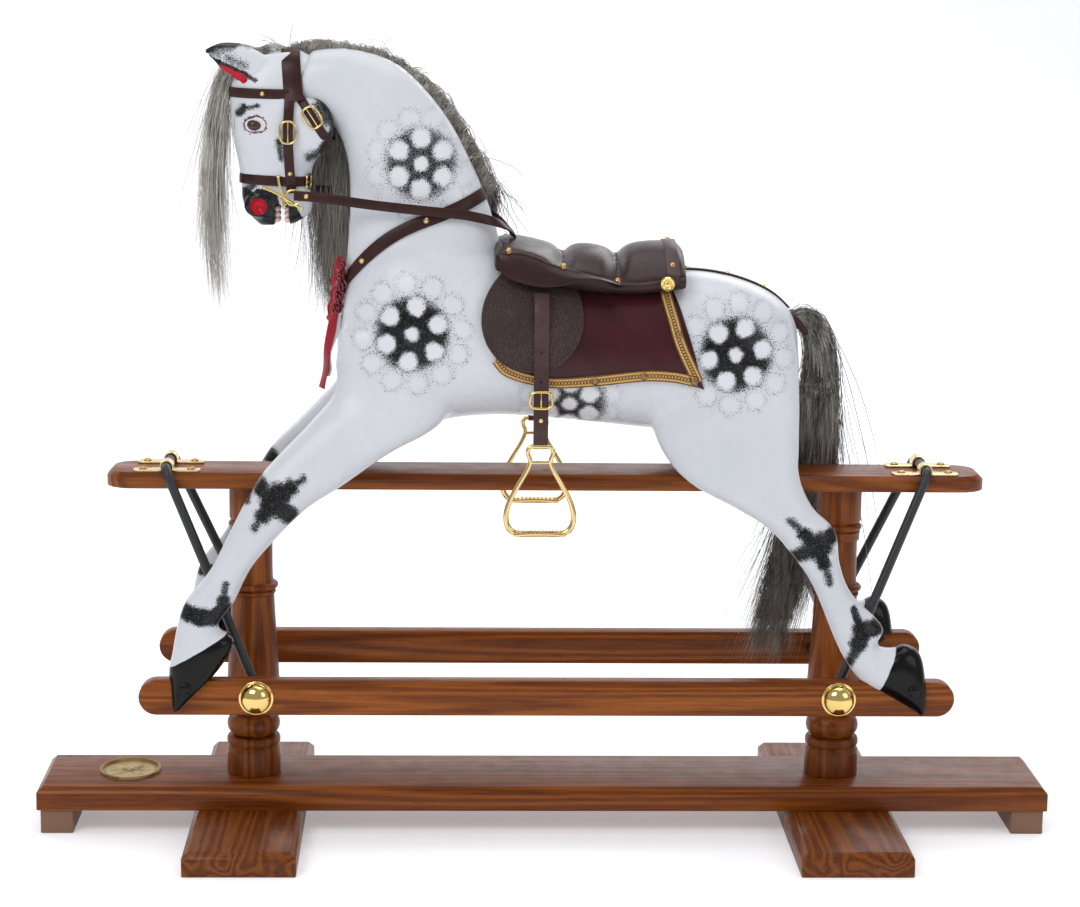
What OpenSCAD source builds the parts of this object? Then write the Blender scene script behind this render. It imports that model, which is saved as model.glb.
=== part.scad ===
// Rocking horse that swings on two bent irons above a floor stand.
// Millimetres, Z up, floor at Z 0. The horse looks toward negative X and its near side is negative Y.

/* [Stand] */
// Length of the base beam
base_length = 1372; // [1240:1:1560]
// Width of the base beam
base_width = 166; // [140:1:200]
// Thickness of the base beam and of the pieces under it
board_thickness = 32.5; // [26:0.5:40]
// Length of the two cross pieces, across the stand
cross_length = 531; // [440:1:640]
// Width of each cross piece
cross_width = 148; // [120:1:176]
// Distance between the centres of the two posts
post_spacing = 797; // [760:1:840]
// Height of the top rail above the floor
stand_height = 490; // [430:1:590]
// Length of the top rail
top_rail_length = 1183; // [1140:1:1240]
// Width of the top rail
top_rail_width = 102; // [90:1:112]
// Thickness of the top rail
top_rail_thickness = 21; // [18:0.5:28]

/* [Swing] */
// Diameter of the bent iron rod
rod_diameter = 12.7; // [9:0.1:15]
// Distance between the two upper pivots
upper_spacing = 1020; // [1000:1:1040]
// Distance between the two lower pivots
lower_spacing = 770; // [750:1:780]
// Drop from the top of the rail to the lower pivots
pivot_drop = 281.6; // [270:0.1:290]
// Length of each hoof rail
hoof_rail_length = 1079; // [1060:1:1120]
// Height of each hoof rail
hoof_rail_height = 47; // [42:1:54]
// Thickness of each hoof rail
hoof_rail_thickness = 25; // [20:1:28]
// Distance between the outer faces of the two hoof rails
hoof_rail_spread = 304; // [298:1:312]

/* [Horse] */
// Width of the barrel of the horse
barrel_width = 208; // [190:1:220]
// Diameter of the round saddle flap
flap_diameter = 134; // [110:1:150]
// Width of the stirrup leather
leather_width = 21; // [16:1:26]
// Width of the stirrup iron
stirrup_width = 96; // [84:1:112]

/* [Hidden] */
$fn = 48;
edge = 8;
gap = 0.3;
beam_top = 2 * board_thickness;
cross_x = post_spacing / 2 + 3;
end_block_width = 44;
end_block_inset = 5;
post_x = post_spacing / 2;
foot_tenon = 40;
head_tenon = 30;
rail_under = stand_height - top_rail_thickness;
rod_radius = rod_diameter / 2;
upper_x = upper_spacing / 2;
lower_x = lower_spacing / 2;
upper_z = stand_height + rod_radius + gap;
lower_z = stand_height - pivot_drop;
rail_outer = hoof_rail_spread / 2;
rail_inner = rail_outer - hoof_rail_thickness;
bend_top_y = top_rail_width / 2 + 7;
bend_low_y = rail_inner - 12;
stub_y = rail_outer + 4;
bracket_y = 31;
bracket_width = 22;
bracket_length = 89;
plate = 2.5;
screw_x = 32;
screw_shank = 5;
// The rear lower hole is long enough for the small error of the opened linkage
rear_play = 3.7;
horse_up = lower_z - 208.4;
half_barrel = barrel_width / 2;
dome_diameter = 46;
strap = 13;
leather_thick = 2.6;
skin_power = 2.3;

/* [Nodes] */
// Which piece to draw

base_beam();
front_cross_piece();
rear_cross_piece();
front_end_block();
rear_end_block();
front_post();
rear_post();
top_rail();
front_brackets();
rear_brackets();
bracket_screws();
base_screws();
cast_plate();
front_swing_iron();
rear_swing_iron();
near_hoof_rail();
far_hoof_rail();
dome_caps();
hoof_bolts();
torso();
neck();
head();
ears();
near_foreleg();
far_foreleg();
near_hindleg();
far_hindleg();
eyes();
mane();
forelock();
tail();
saddle_seat();
near_skirt();
far_skirt();
near_flap();
far_flap();
saddle_cloth();
cloth_braid();
saddle_studs();
crupper_strap();
breast_strap();
rosettes();
ribbon();
headpiece();
browband();
cheek_straps();
throat_latch();
noseband();
bridle_buckles();
bit();
reins();
near_stirrup_leather();
far_stirrup_leather();
near_stirrup_buckle();
far_stirrup_buckle();
near_stirrup_iron();
far_stirrup_iron();

// ---------------------------------------------------------------- shared shapes

function bulge(t, power) = sign(t) * pow(abs(t), 2 / power);

// One closed section in a plane that holds the Y direction.
// front and back are [x, z], side is the Y of the middle, half is half the thickness in Y.
function ring(front, back, side, half, count = 20, power = 2.2) = [
    for (i = [0 : count - 1])
        let (a = 360 * i / count, c = bulge(cos(a), power), s = bulge(sin(a), power))
        [
            (front[0] + back[0]) / 2 + c * (front[0] - back[0]) / 2,
            side + half * s,
            (front[1] + back[1]) / 2 + c * (front[1] - back[1]) / 2
        ]
];

function middle(r) = [for (k = [0 : 2]) (r[0][k] + r[len(r) / 2][k]) / 2];

function outward(rings) =
    let (
        r = rings[0],
        n = len(r),
        u = r[0] - r[n / 2],
        v = r[n / 4] - r[3 * n / 4],
        w = middle(rings[1]) - middle(r)
    )
    cross(u, v) * w > 0;

// Solid through a row of sections with the same number of points
module loft(rings) {
    n = len(rings[0]);
    m = len(rings);
    up = outward(rings);
    points = [for (r = rings) each r];
    sides = [
        for (k = [0 : m - 2], i = [0 : n - 1])
            let (j = (i + 1) % n, a = k * n + i, b = k * n + j, c = a + n, d = b + n)
            each [[a, c, d], [a, d, b]]
    ];
    ends = [
        [for (i = [0 : n - 1]) i],
        [for (i = [n - 1 : -1 : 0]) (m - 1) * n + i]
    ];
    faces = concat(sides, ends);
    polyhedron(points, up ? faces : [for (f = faces) [for (i = [len(f) - 1 : -1 : 0]) f[i]]]);
}

// Sheet between an inner and an outer grid of points with the same rows and columns
module sheet(inner, outer) {
    rows = len(inner);
    cols = len(inner[0]);
    n = rows * cols;
    points = concat([for (r = inner) each r], [for (r = outer) each r]);
    top = [
        for (i = [0 : rows - 2], j = [0 : cols - 2])
            let (a = n + i * cols + j, b = a + 1, c = a + cols, d = c + 1)
            each [[a, b, d], [a, d, c]]
    ];
    bottom = [
        for (i = [0 : rows - 2], j = [0 : cols - 2])
            let (a = i * cols + j, b = a + 1, c = a + cols, d = c + 1)
            each [[a, d, b], [a, c, d]]
    ];
    row_ends = [
        for (j = [0 : cols - 2])
            let (a = j, b = j + 1, c = (rows - 1) * cols + j, d = c + 1)
            each [[a, b, n + b], [a, n + b, n + a], [c, n + d, d], [c, n + c, n + d]]
    ];
    col_ends = [
        for (i = [0 : rows - 2])
            let (a = i * cols, b = a + cols, c = a + cols - 1, d = c + cols)
            each [[a, n + b, b], [a, n + a, n + b], [c, d, n + d], [c, n + d, n + c]]
    ];
    polyhedron(points, concat(top, bottom, row_ends, col_ends));
}

// Flat strap lying round a section, from one angle to another, wide along the given [x, z] direction
module band(front, back, side, half, along, from, to, steps, thick = leather_thick, lift = 0) {
    size = norm(front - back) / 2;
    function at(a, off, t) =
        let (
            c = bulge(cos(a), 2.2) * (1 + off / size),
            s = bulge(sin(a), 2.2) * (half + off)
        )
        [
            (front[0] + back[0]) / 2 + c * (front[0] - back[0]) / 2 + along[0] * t,
            side + s,
            (front[1] + back[1]) / 2 + c * (front[1] - back[1]) / 2 + along[1] * t
        ];
    sheet(
        [for (i = [0 : steps]) let (a = from + (to - from) * i / steps)
            [at(a, lift, -0.5), at(a, lift, 0.5)]],
        [for (i = [0 : steps]) let (a = from + (to - from) * i / steps)
            [at(a, lift + thick, -0.5), at(a, lift + thick, 0.5)]]
    );
}

// Closed strap round a section
module hoop(front, back, side, half, along, thick = leather_thick, steps = 24) {
    size = norm(front - back) / 2;
    corners = [[0, -0.5], [thick, -0.5], [thick, 0.5], [0, 0.5]];
    points = [
        for (i = [0 : steps - 1], k = corners)
            let (
                a = 360 * i / steps,
                c = bulge(cos(a), 2.2) * (1 + k[0] / size),
                s = bulge(sin(a), 2.2) * (half + k[0])
            )
            [
                (front[0] + back[0]) / 2 + c * (front[0] - back[0]) / 2 + along[0] * k[1],
                side + s,
                (front[1] + back[1]) / 2 + c * (front[1] - back[1]) / 2 + along[1] * k[1]
            ]
    ];
    turn = cross([front[0] - back[0], 0, front[1] - back[1]], [0, 1, 0]) * [along[0], 0, along[1]];
    faces = [
        for (i = [0 : steps - 1], k = [0 : 3])
            let (
                j = (i + 1) % steps, l = (k + 1) % 4,
                a = i * 4 + k, b = i * 4 + l, c = j * 4 + k, d = j * 4 + l
            )
            each [[a, b, d], [a, d, c]]
    ];
    polyhedron(points, turn > 0 ? faces : [for (f = faces) [f[2], f[1], f[0]]]);
}

// Flat strap along a path of points, thick in Y and wide across the path
module strip(path, wide, thick = leather_thick) {
    m = len(path);
    function way(i) =
        let (d = path[min(i + 1, m - 1)] - path[max(i - 1, 0)], e = [d[0], d[2]])
        e / norm(e);
    inner = [for (i = [0 : m - 1]) let (n = way(i), p = path[i])
        [p + [-n[1] * wide / 2, -thick / 2, n[0] * wide / 2],
         p + [n[1] * wide / 2, -thick / 2, -n[0] * wide / 2]]];
    outer = [for (i = [0 : m - 1]) let (n = way(i), p = path[i])
        [p + [-n[1] * wide / 2, thick / 2, n[0] * wide / 2],
         p + [n[1] * wide / 2, thick / 2, -n[0] * wide / 2]]];
    sheet(inner, outer);
}

// Points of a round bend of radius r at corner b, between the points a and c
function bend(a, b, c, r, steps = 6) =
    let (
        u = (a - b) / norm(a - b),
        v = (c - b) / norm(c - b),
        half = acos(u * v) / 2,
        reach = r / tan(half),
        hub = b + (u + v) / norm(u + v) * r / sin(half),
        p = b + u * reach - hub,
        q = b + v * reach - hub,
        turn = 180 - 2 * half
    )
    [for (i = [0 : steps]) hub + (p * sin(turn * (1 - i / steps)) + q * sin(turn * i / steps)) / sin(turn)];

// Path with every inner corner rounded
function rounded(path, r, steps = 6) = [
    path[0],
    for (i = [1 : len(path) - 2]) each bend(path[i - 1], path[i], path[i + 1], r, steps),
    path[len(path) - 1]
];

// Round tube along a path that lies in one plane; normal is that plane's unit normal
module tube(path, radius, normal, sides = 16) {
    m = len(path);
    loft([
        for (i = [0 : m - 1])
            let (
                d = path[min(i + 1, m - 1)] - path[max(i - 1, 0)],
                v = cross(d / norm(d), normal)
            )
            [for (k = [0 : sides - 1]) let (t = 360 * k / sides)
                path[i] + radius * (cos(t) * normal + sin(t) * v)]
    ]);
}

// Board with its four top edges cut at 45 degrees
module board(length, width, thickness, cut) {
    l = length / 2;
    w = width / 2;
    corner = [[-1, -1], [1, -1], [1, 1], [-1, 1]];
    points = concat(
        [for (c = corner) [c[0] * l, c[1] * w, 0]],
        [for (c = corner) [c[0] * l, c[1] * w, thickness - cut]],
        [for (c = corner) [c[0] * (l - cut), c[1] * (w - cut), thickness]]
    );
    polyhedron(points, [
        [0, 1, 2, 3], [11, 10, 9, 8],
        for (k = [0, 4], i = [0 : 3]) let (j = (i + 1) % 4) [k + i, k + 4 + i, k + 4 + j, k + j]
    ]);
}

module far_side() {
    mirror([0, 1, 0]) children();
}

// Wood screw pointing up with its countersunk head at Z 0
module wood_screw(length, shank, head) {
    cylinder(d = shank, h = length);
    cylinder(d1 = head, d2 = shank, h = (head - shank) / 2);
}

// ---------------------------------------------------------------- stand

module base_screw_places(reach) {
    for (x = [-cross_x, cross_x], dx = [-45, 45], y = [-45, 45])
        translate([x + dx, y, 0]) wood_screw(reach, 6, 13);
    for (x = [-1, 1], y = [-50, 50])
        translate([x * (base_length / 2 - end_block_inset - end_block_width / 2), y, 0])
            wood_screw(reach, 6, 13);
}

module base_screw_holes() {
    for (x = [-cross_x, cross_x], dx = [-45, 45], y = [-45, 45])
        translate([x + dx, y, -0.01]) wood_screw(51, 6.4, 13.6);
    for (x = [-1, 1], y = [-50, 50])
        translate([x * (base_length / 2 - end_block_inset - end_block_width / 2), y, -0.01])
            wood_screw(51, 6.4, 13.6);
}

module base_screws() {
    color("#8a8a86") base_screw_places(50);
}

module base_beam() {
    color("#6b3a1a") difference() {
        translate([0, 0, board_thickness])
            board(base_length, base_width, board_thickness, edge);
        for (x = [-post_x, post_x])
            translate([x, 0, board_thickness + 2])
                cylinder(d = foot_tenon + 2 * gap, h = board_thickness);
        base_screw_holes();
        plate_recess();
    }
}

module cross_piece(x) {
    color("#5e3216") difference() {
        translate([x, 0, 0]) rotate([0, 0, 90])
            board(cross_length, cross_width, board_thickness, edge);
        // The beam lies on the full height, so the cut edges end at the beam
        base_screw_holes();
    }
}

module front_cross_piece() {
    cross_piece(-cross_x);
}

module rear_cross_piece() {
    cross_piece(cross_x);
}

module end_block(side) {
    color("#4a2814") difference() {
        translate([side * (base_length / 2 - end_block_inset - end_block_width / 2), 0, 0])
            translate([-end_block_width / 2, -base_width / 2 + 3, 0])
                cube([end_block_width, base_width - 6, board_thickness]);
        base_screw_holes();
    }
}

module front_end_block() {
    end_block(-1);
}

module rear_end_block() {
    end_block(1);
}

// Turned post between the beam and the top rail
module post() {
    height = rail_under - beam_top;
    s = height / 404;
    ball = [for (a = [-62 : 12.4 : 62]) [20 + 16 * cos(a), 69 + 17 * sin(a)]];
    bead = [for (a = [-90 : 22.5 : 90]) [28.5 + 6 * cos(a), 263 + 5 * sin(a)]];
    small_bead = [for (a = [-90 : 30 : 90]) [28.5 + 2.6 * cos(a), 254 + 3 * sin(a)]];
    top_bead = [for (a = [-90 : 22.5 : 90]) [28.5 + 4 * cos(a), 348 + 4.5 * sin(a)]];
    outline = concat(
        [[0, 0], [36.5, 0], [35.6, 38], [33.5, 40], [36.2, 42], [36.5, 49], [35, 52]],
        ball,
        [[27, 87], [28.5, 92], [34, 97], [36.4, 104], [36.5, 112], [34.6, 150], [31.6, 200], [29, 248]],
        small_bead, bead,
        [[28, 270], [27, 300], [27, 330], [29.5, 331], [29.5, 335], [30.5, 340]],
        top_bead,
        [[29, 354], [31, 357], [31, 404], [0, 404]]
    );
    rotate_extrude()
        polygon([for (p = outline) [p[0], p[1] * s]]);
    translate([0, 0, -28]) cylinder(d = foot_tenon, h = 30);
    translate([0, 0, height - 1]) cylinder(d = head_tenon, h = top_rail_thickness + 1);
}

module front_post() {
    color("#6e3b18") translate([-post_x, 0, beam_top]) post();
}

module rear_post() {
    color("#6e3b18") translate([post_x, 0, beam_top]) post();
}

module rail_outline(length, width, radius) {
    square([length - 2 * radius, width], center = true);
    square([length, width - 2 * radius], center = true);
    for (x = [-1, 1], y = [-1, 1])
        translate([x * (length / 2 - radius), y * (width / 2 - radius)]) circle(r = radius, $fn = 32);
}

module top_rail() {
    cut = 7;
    color("#75401a") difference() {
        translate([0, 0, rail_under]) hull() {
            linear_extrude(top_rail_thickness - cut)
                rail_outline(top_rail_length, top_rail_width, 36);
            linear_extrude(top_rail_thickness)
                rail_outline(top_rail_length - 2 * cut, top_rail_width - 2 * cut, 30);
        }
        for (x = [-post_x, post_x])
            translate([x, 0, rail_under - 1])
                cylinder(d = head_tenon + 2 * gap, h = top_rail_thickness + 2);
        bracket_screw_holes();
    }
}

// ---------------------------------------------------------------- brackets

// Flat plate with a raised arch over the iron
module bracket(x, y) {
    bore = rod_radius + gap;
    arch = bore + plate;
    mid = upper_z - stand_height;
    translate([x, y, stand_height]) difference() {
        union() {
            translate([-bracket_length / 2, -bracket_width / 2, 0])
                cube([bracket_length, bracket_width, plate]);
            translate([-arch, -bracket_width / 2, 0]) cube([2 * arch, bracket_width, mid]);
            translate([0, -bracket_width / 2, mid]) rotate([-90, 0, 0])
                cylinder(r = arch, h = bracket_width);
        }
        translate([0, -bracket_width, mid]) rotate([-90, 0, 0])
            cylinder(r = bore, h = 2 * bracket_width);
        translate([-bore + 0.4, -bracket_width, -arch]) cube([2 * bore - 0.8, 2 * bracket_width, mid + arch]);
        translate([0, 0, -arch]) cube([3 * arch, 3 * bracket_width, 2 * arch], center = true);
        for (s = [-screw_x, screw_x])
            translate([s, 0, -1]) cylinder(d = screw_shank + 0.6, h = 10);
    }
}

module front_brackets() {
    color("#d9bd82") for (y = [-bracket_y, bracket_y]) bracket(-upper_x, y);
}

module rear_brackets() {
    color("#d9bd82") for (y = [-bracket_y, bracket_y]) bracket(upper_x, y);
}

module bracket_screw_holes() {
    for (x = [-upper_x, upper_x], s = [-screw_x, screw_x], y = [-bracket_y, bracket_y])
        translate([x + s, y, rail_under + 2]) cylinder(d = screw_shank + 0.4, h = top_rail_thickness);
}

// Round head screw with a slot across the head
module round_screw() {
    translate([0, 0, -14]) cylinder(d = screw_shank, h = 15);
    difference() {
        rotate_extrude()
            polygon(concat([[0, 0]], [for (a = [0 : 15 : 90]) [5.6 * cos(a), 3.6 * sin(a)]]));
        translate([-6, -0.6, 2.2]) cube([12, 1.2, 3]);
    }
}

module bracket_screws() {
    color("#b99a5e")
        for (x = [-upper_x, upper_x], s = [-screw_x, screw_x], y = [-bracket_y, bracket_y])
            translate([x + s, y, stand_height + plate]) rotate([0, 0, x + y + s]) round_screw();
}

// ---------------------------------------------------------------- cast plate

module plate_oval(grow, height) {
    translate([-base_length / 2 + 118, 0, beam_top]) scale([42 + grow, 50 + grow, 1])
        cylinder(r = 1, h = height);
}

module plate_recess() {
    translate([0, 0, -2]) plate_oval(0.3, 3);
}

module cast_plate() {
    color("#a8946a") {
        difference() {
            union() {
                translate([0, 0, -2]) plate_oval(0, 4);
                translate([0, 0, 1.9]) plate_oval(0, 1.6);
            }
            translate([0, 0, 2.2]) plate_oval(-5, 3);
        }
        // Generic raised pattern: a star of plain petals
        for (a = [0 : 45 : 315])
            translate([-base_length / 2 + 118, 0, beam_top + 2])
                rotate([0, 0, a]) translate([17, 0, 0]) scale([12, 4.5, 1.4]) sphere(r = 1);
        translate([-base_length / 2 + 118, 0, beam_top + 2]) scale([6, 6, 1.6]) sphere(r = 1);
    }
}

// ---------------------------------------------------------------- swing irons

module iron_leg(side) {
    across = cross([side * (upper_x - lower_x), bend_low_y - bend_top_y, upper_z - lower_z], [0, 1, 0]);
    tube(rounded([
        [side * lower_x, -bend_low_y - 12, lower_z],
        [side * lower_x, -bend_low_y, lower_z],
        [side * upper_x, -bend_top_y, upper_z],
        [side * upper_x, -bend_top_y + 14, upper_z]
    ], 10), rod_radius - 0.05, across / norm(across));
}

// One bent rod: a straight top length in the brackets, two splayed legs and two straight lower ends
module swing_iron(side) {
    straight = stub_y - bend_low_y - 8;
    color("#1c1c1e") {
        translate([side * upper_x, -bend_top_y + 10, upper_z]) rotate([-90, 0, 0])
            cylinder(r = rod_radius, h = 2 * bend_top_y - 20);
        iron_leg(side);
        far_side() iron_leg(side);
        for (y = [-stub_y, stub_y - straight])
            translate([side * lower_x, y, lower_z]) rotate([-90, 0, 0])
                cylinder(r = rod_radius, h = straight);
    }
}

module front_swing_iron() {
    swing_iron(-1);
}

module rear_swing_iron() {
    swing_iron(1);
}

// ---------------------------------------------------------------- hoof rails

module slab(length, height, thick) {
    rotate([90, 0, 0]) linear_extrude(thick, center = true) {
        square([length - height, height], center = true);
        for (x = [-1, 1]) translate([x * (length - height) / 2, 0]) circle(d = height, $fn = 40);
    }
}

module near_hoof_rail() {
    ease = 2;
    color("#75401a") difference() {
        translate([0, -(rail_outer + rail_inner) / 2, lower_z]) hull() {
            slab(hoof_rail_length, hoof_rail_height, hoof_rail_thickness - 2 * ease);
            slab(hoof_rail_length - 2 * ease, hoof_rail_height - 2 * ease, hoof_rail_thickness);
        }
        translate([-lower_x, -rail_inner + 1, lower_z]) rotate([90, 0, 0])
            cylinder(r = rod_radius + gap, h = hoof_rail_thickness + 2);
        translate([lower_x + rear_play, -rail_inner + 1, lower_z]) rotate([90, 0, 0])
            cylinder(r = rod_radius + rear_play + 1, h = hoof_rail_thickness + 2);
        for (p = hoof_bolt_places)
            translate([p[0], -rail_inner + 1, p[1] + horse_up]) rotate([90, 0, 0])
                cylinder(d = 6.6, h = hoof_rail_thickness + 2);
    }
}

module far_hoof_rail() {
    far_side() near_hoof_rail();
}

// Hollow brass cap over the end of an iron, open toward the rail
module dome_cap() {
    r = dome_diameter / 2;
    outer = [for (a = [0 : 10 : 90]) [(r - 3) * cos(a), 2 + 16 * sin(a)]];
    inner = [for (a = [90 : -15 : 0]) [(r - 6) * cos(a), 1.6 + 12.4 * sin(a)]];
    rotate([90, 0, 0]) rotate_extrude()
        polygon(concat([[r, 0], [r, 1.6], [r - 1, 2]], outer, inner, [[r - 6, 0]]));
}

module dome_caps() {
    color("#d9bd82")
        for (x = [-lower_x, lower_x]) {
            translate([x, -rail_outer, lower_z]) dome_cap();
            far_side() translate([x, -rail_outer, lower_z]) dome_cap();
        }
}

hoof_bolt_places = [[-476, 225], [482, 224]];
hoof_face = 167;

module hoof_bolt(p) {
    translate([p[0], -rail_inner, p[1] + horse_up]) rotate([90, 0, 0]) {
        cylinder(d = 6, h = hoof_face - rail_inner + 1);
        translate([0, 0, hoof_face - rail_inner]) rotate_extrude()
            polygon(concat([[0, 0]], [for (a = [0 : 15 : 90]) [7.5 * cos(a), 3.8 * sin(a)]]));
        translate([0, 0, -6]) cylinder(d = 11.5, h = 6 - gap / 3, $fn = 6);
    }
}

module hoof_bolts() {
    color("#1c1c1e")
        for (p = hoof_bolt_places) {
            hoof_bolt(p);
            far_side() hoof_bolt(p);
        }
}

// ---------------------------------------------------------------- body of the horse

// Heights of the back and belly and the half width, by distance along the horse
back_line = [[-283, 690], [-270, 735], [-240, 788], [-190, 818], [-120, 802], [-50, 777], [30, 758],
    [110, 756], [180, 763], [240, 756], [290, 738], [320, 715], [334, 690]];
belly_line = [[-283, 590], [-270, 566], [-240, 550], [-190, 548], [-120, 562], [-50, 566], [30, 560],
    [110, 552], [180, 545], [240, 536], [290, 530], [320, 545], [334, 575]];
side_line = [[-283, 30], [-270, 58], [-240, 80], [-190, 94], [-120, 101], [-50, 104], [30, 104],
    [110, 104], [180, 104], [240, 102], [290, 92], [320, 72], [334, 38]];

// Point on the barrel: a is the angle from the spine, positive toward the near side
function on_barrel(x, a, off = 0) =
    let (
        top = lookup(x, back_line),
        low = lookup(x, belly_line),
        side = lookup(x, side_line) * half_barrel / 104
    )
    [
        x,
        -(side + off) * bulge(sin(a), skin_power),
        (top + low) / 2 + ((top - low) / 2 + off) * bulge(cos(a), skin_power) + horse_up
    ];

module torso() {
    color("#cdd2da")
        loft([for (s = back_line) [for (i = [0 : 31]) on_barrel(s[0], i * 360 / 32)]]);
}

// Each row is [front, back, side, half]: front and back as [x, z]
module limb(rows, count = 20, power = 2.2) {
    translate([0, 0, horse_up])
        loft([for (r = rows) ring(r[0], r[1], r[2], r[3], count, power)]);
}

module neck() {
    color("#cdd2da") limb([
        [[-283, 640], [-35, 735], 0, 78],
        [[-278, 715], [-66, 800], 0, 66],
        [[-271, 780], [-82, 850], 0, 54],
        [[-267, 850], [-103, 900], 0, 47],
        [[-270, 905], [-142, 970], 0, 43],
        [[-285, 945], [-200, 1030], 0, 41],
        [[-312, 965], [-262, 1051], 0, 39],
        [[-350, 975], [-318, 1050], 0, 36]
    ]);
}

module head() {
    color("#cdd2da") difference() {
        limb([
            [[-392, 1041], [-330, 1049], 0, 26],
            [[-416, 1018], [-318, 1028], 0, 36],
            [[-424, 998], [-322, 998], 0, 42],
            [[-424, 972], [-297, 978], 0, 46],
            [[-423, 948], [-288, 946], 0, 47],
            [[-419, 925], [-296, 922], 0, 44],
            [[-414, 900], [-314, 900], 0, 38],
            [[-410, 872], [-319, 868], 0, 34],
            [[-409, 852], [-316, 846], 0, 32],
            [[-401, 834], [-322, 832], 0, 29],
            [[-386, 818], [-340, 820], 0, 20]
        ]);
        // Open mouth between the upper and the lower jaw
        translate([-365, -60, 800 + horse_up]) cube([19, 120, 48]);
    }
}

module ear() {
    limb([
        [[-368, 1036], [-402, 1003], -22, 10],
        [[-392, 1050], [-420, 1016], -26, 13],
        [[-418, 1055], [-438, 1030], -29, 11],
        [[-440, 1055], [-450, 1042], -30, 6],
        [[-454, 1050], [-456, 1047], -30, 2]
    ], 12, 2);
}

module ears() {
    color("#c2c6cd") {
        ear();
        far_side() ear();
    }
}

// Sideways size at the top of a leg, which follows the width of the barrel
function hip(y) = y * half_barrel / 104;

module foreleg() {
    difference() {
        limb([
            [[-279, 690], [-120, 650], hip(-52), hip(38)],
            [[-284, 610], [-138, 568], hip(-66), hip(37)],
            [[-314, 570], [-212, 524], (hip(-84) - 84) / 2, 33],
            [[-366, 516], [-276, 482], -101, 29],
            [[-388, 487], [-318, 456], -110, 26],
            [[-418, 430], [-356, 420], -117, 23],
            [[-446, 375], [-392, 378], -124, 21],
            [[-476, 338], [-415, 332], -131, 22],
            [[-488, 306], [-436, 302], -136, 21],
            [[-495, 268], [-419, 292], -141, 24],
            [[-500, 244], [-414, 277], -142, 25],
            [[-498, 218], [-440, 238], -142, 25],
            [[-495, 190], [-486, 193], -143, 24]
        ]);
        rail_notch();
        for (p = hoof_bolt_places) bolt_bore(p);
    }
}

module hindleg() {
    difference() {
        limb([
            [[150, 640], [326, 690], hip(-52), hip(40)],
            [[136, 566], [334, 600], hip(-64), hip(39)],
            [[156, 518], [333, 538], (hip(-78) - 78) / 2, 36],
            [[191, 485], [333, 497], -90, 33],
            [[248, 456], [350, 458], -100, 28],
            [[291, 430], [380, 428], -108, 25],
            [[324, 394], [386, 386], -114, 22],
            [[350, 356], [402, 346], -120, 21],
            [[376, 295], [444, 303], -130, 22],
            [[392, 262], [434, 280], -136, 20],
            [[414, 232], [458, 276], -140, 22],
            [[441, 217], [473, 282], -142, 25],
            [[462, 205], [493, 269], -142, 25],
            [[486, 192], [501, 230], -142, 25],
            [[496, 185], [500, 188], -143, 22]
        ]);
        rail_notch();
        for (p = hoof_bolt_places) bolt_bore(p);
    }
}

// Room for the hoof rail, so each hoof sits on the rail and laps its outer face
module rail_notch() {
    translate([-hoof_rail_length, -rail_outer - 0.1, lower_z - hoof_rail_height])
        cube([2 * hoof_rail_length, rail_outer, 1.5 * hoof_rail_height + 0.1]);
}

module bolt_bore(p) {
    translate([p[0], -rail_inner, p[1] + horse_up]) rotate([90, 0, 0]) cylinder(d = 6.6, h = 60);
    translate([p[0], -hoof_face, p[1] + horse_up]) rotate([90, 0, 0]) cylinder(d = 16, h = 20);
}

module near_foreleg() {
    color("#cdd2da") foreleg();
}

module far_foreleg() {
    color("#cdd2da") far_side() foreleg();
}

module near_hindleg() {
    color("#cdd2da") hindleg();
}

module far_hindleg() {
    color("#cdd2da") far_side() hindleg();
}

module eye() {
    translate([-391, -41, 952 + horse_up]) scale([10, 6, 7]) sphere(r = 1);
}

module eyes() {
    color("#231a16") {
        eye();
        far_side() eye();
    }
}

// ---------------------------------------------------------------- hair

module mane() {
    color("#85827a") limb([
        [[-330, 1062], [-344, 1050], 6, 8],
        [[-285, 1066], [-322, 960], 30, 22],
        [[-225, 1056], [-336, 860], 46, 16],
        [[-175, 1032], [-334, 770], 58, 12],
        [[-128, 972], [-312, 700], 66, 12],
        [[-96, 900], [-230, 760], 66, 14],
        [[-78, 858], [-120, 830], 52, 10]
    ], 16);
}

module forelock() {
    color("#9a978e") limb([
        [[-392, 1052], [-350, 1060], 0, 12],
        [[-440, 1030], [-424, 1012], 0, 12],
        [[-462, 960], [-430, 950], 0, 14],
        [[-474, 860], [-420, 856], 0, 15],
        [[-474, 780], [-424, 776], 0, 14],
        [[-462, 696], [-440, 694], 0, 6]
    ], 12);
}

module tail() {
    color("#6f6b62") limb([
        [[318, 692], [338, 706], 0, 10],
        [[340, 668], [372, 700], 4, 15],
        [[345, 620], [400, 640], 30, 17],
        [[350, 550], [410, 560], 66, 15],
        [[352, 500], [410, 505], 75, 14],
        [[338, 440], [402, 446], 75, 14],
        [[296, 360], [388, 366], 76, 14],
        [[268, 296], [374, 300], 76, 14],
        [[280, 222], [350, 220], 76, 8]
    ], 16);
}

// ---------------------------------------------------------------- saddle

// Sheet lying on the barrel between two angles; front and back give x by angle
module barrel_sheet(front, back, from, to, low, high, nx = 6, na = 12) {
    function grid(off, crown) = [
        for (i = [0 : na])
            let (a = from + (to - from) * i / na, f = lookup(a, front), b = lookup(a, back))
            [for (j = [0 : nx])
                let (x = f + (b - f) * j / nx)
                on_barrel(x, a, off + crown * lookup(x, seat_rise) * max(0, cos(a * 1.4)))]
    ];
    rising = high < 0;
    sheet(grid(low, 0), grid(abs(high), rising ? 1 : 0));
}

seat_rise = [[-76, 2], [-55, 13], [-20, 20], [30, 23], [106, 18], [150, 23], [178, 27]];

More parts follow.
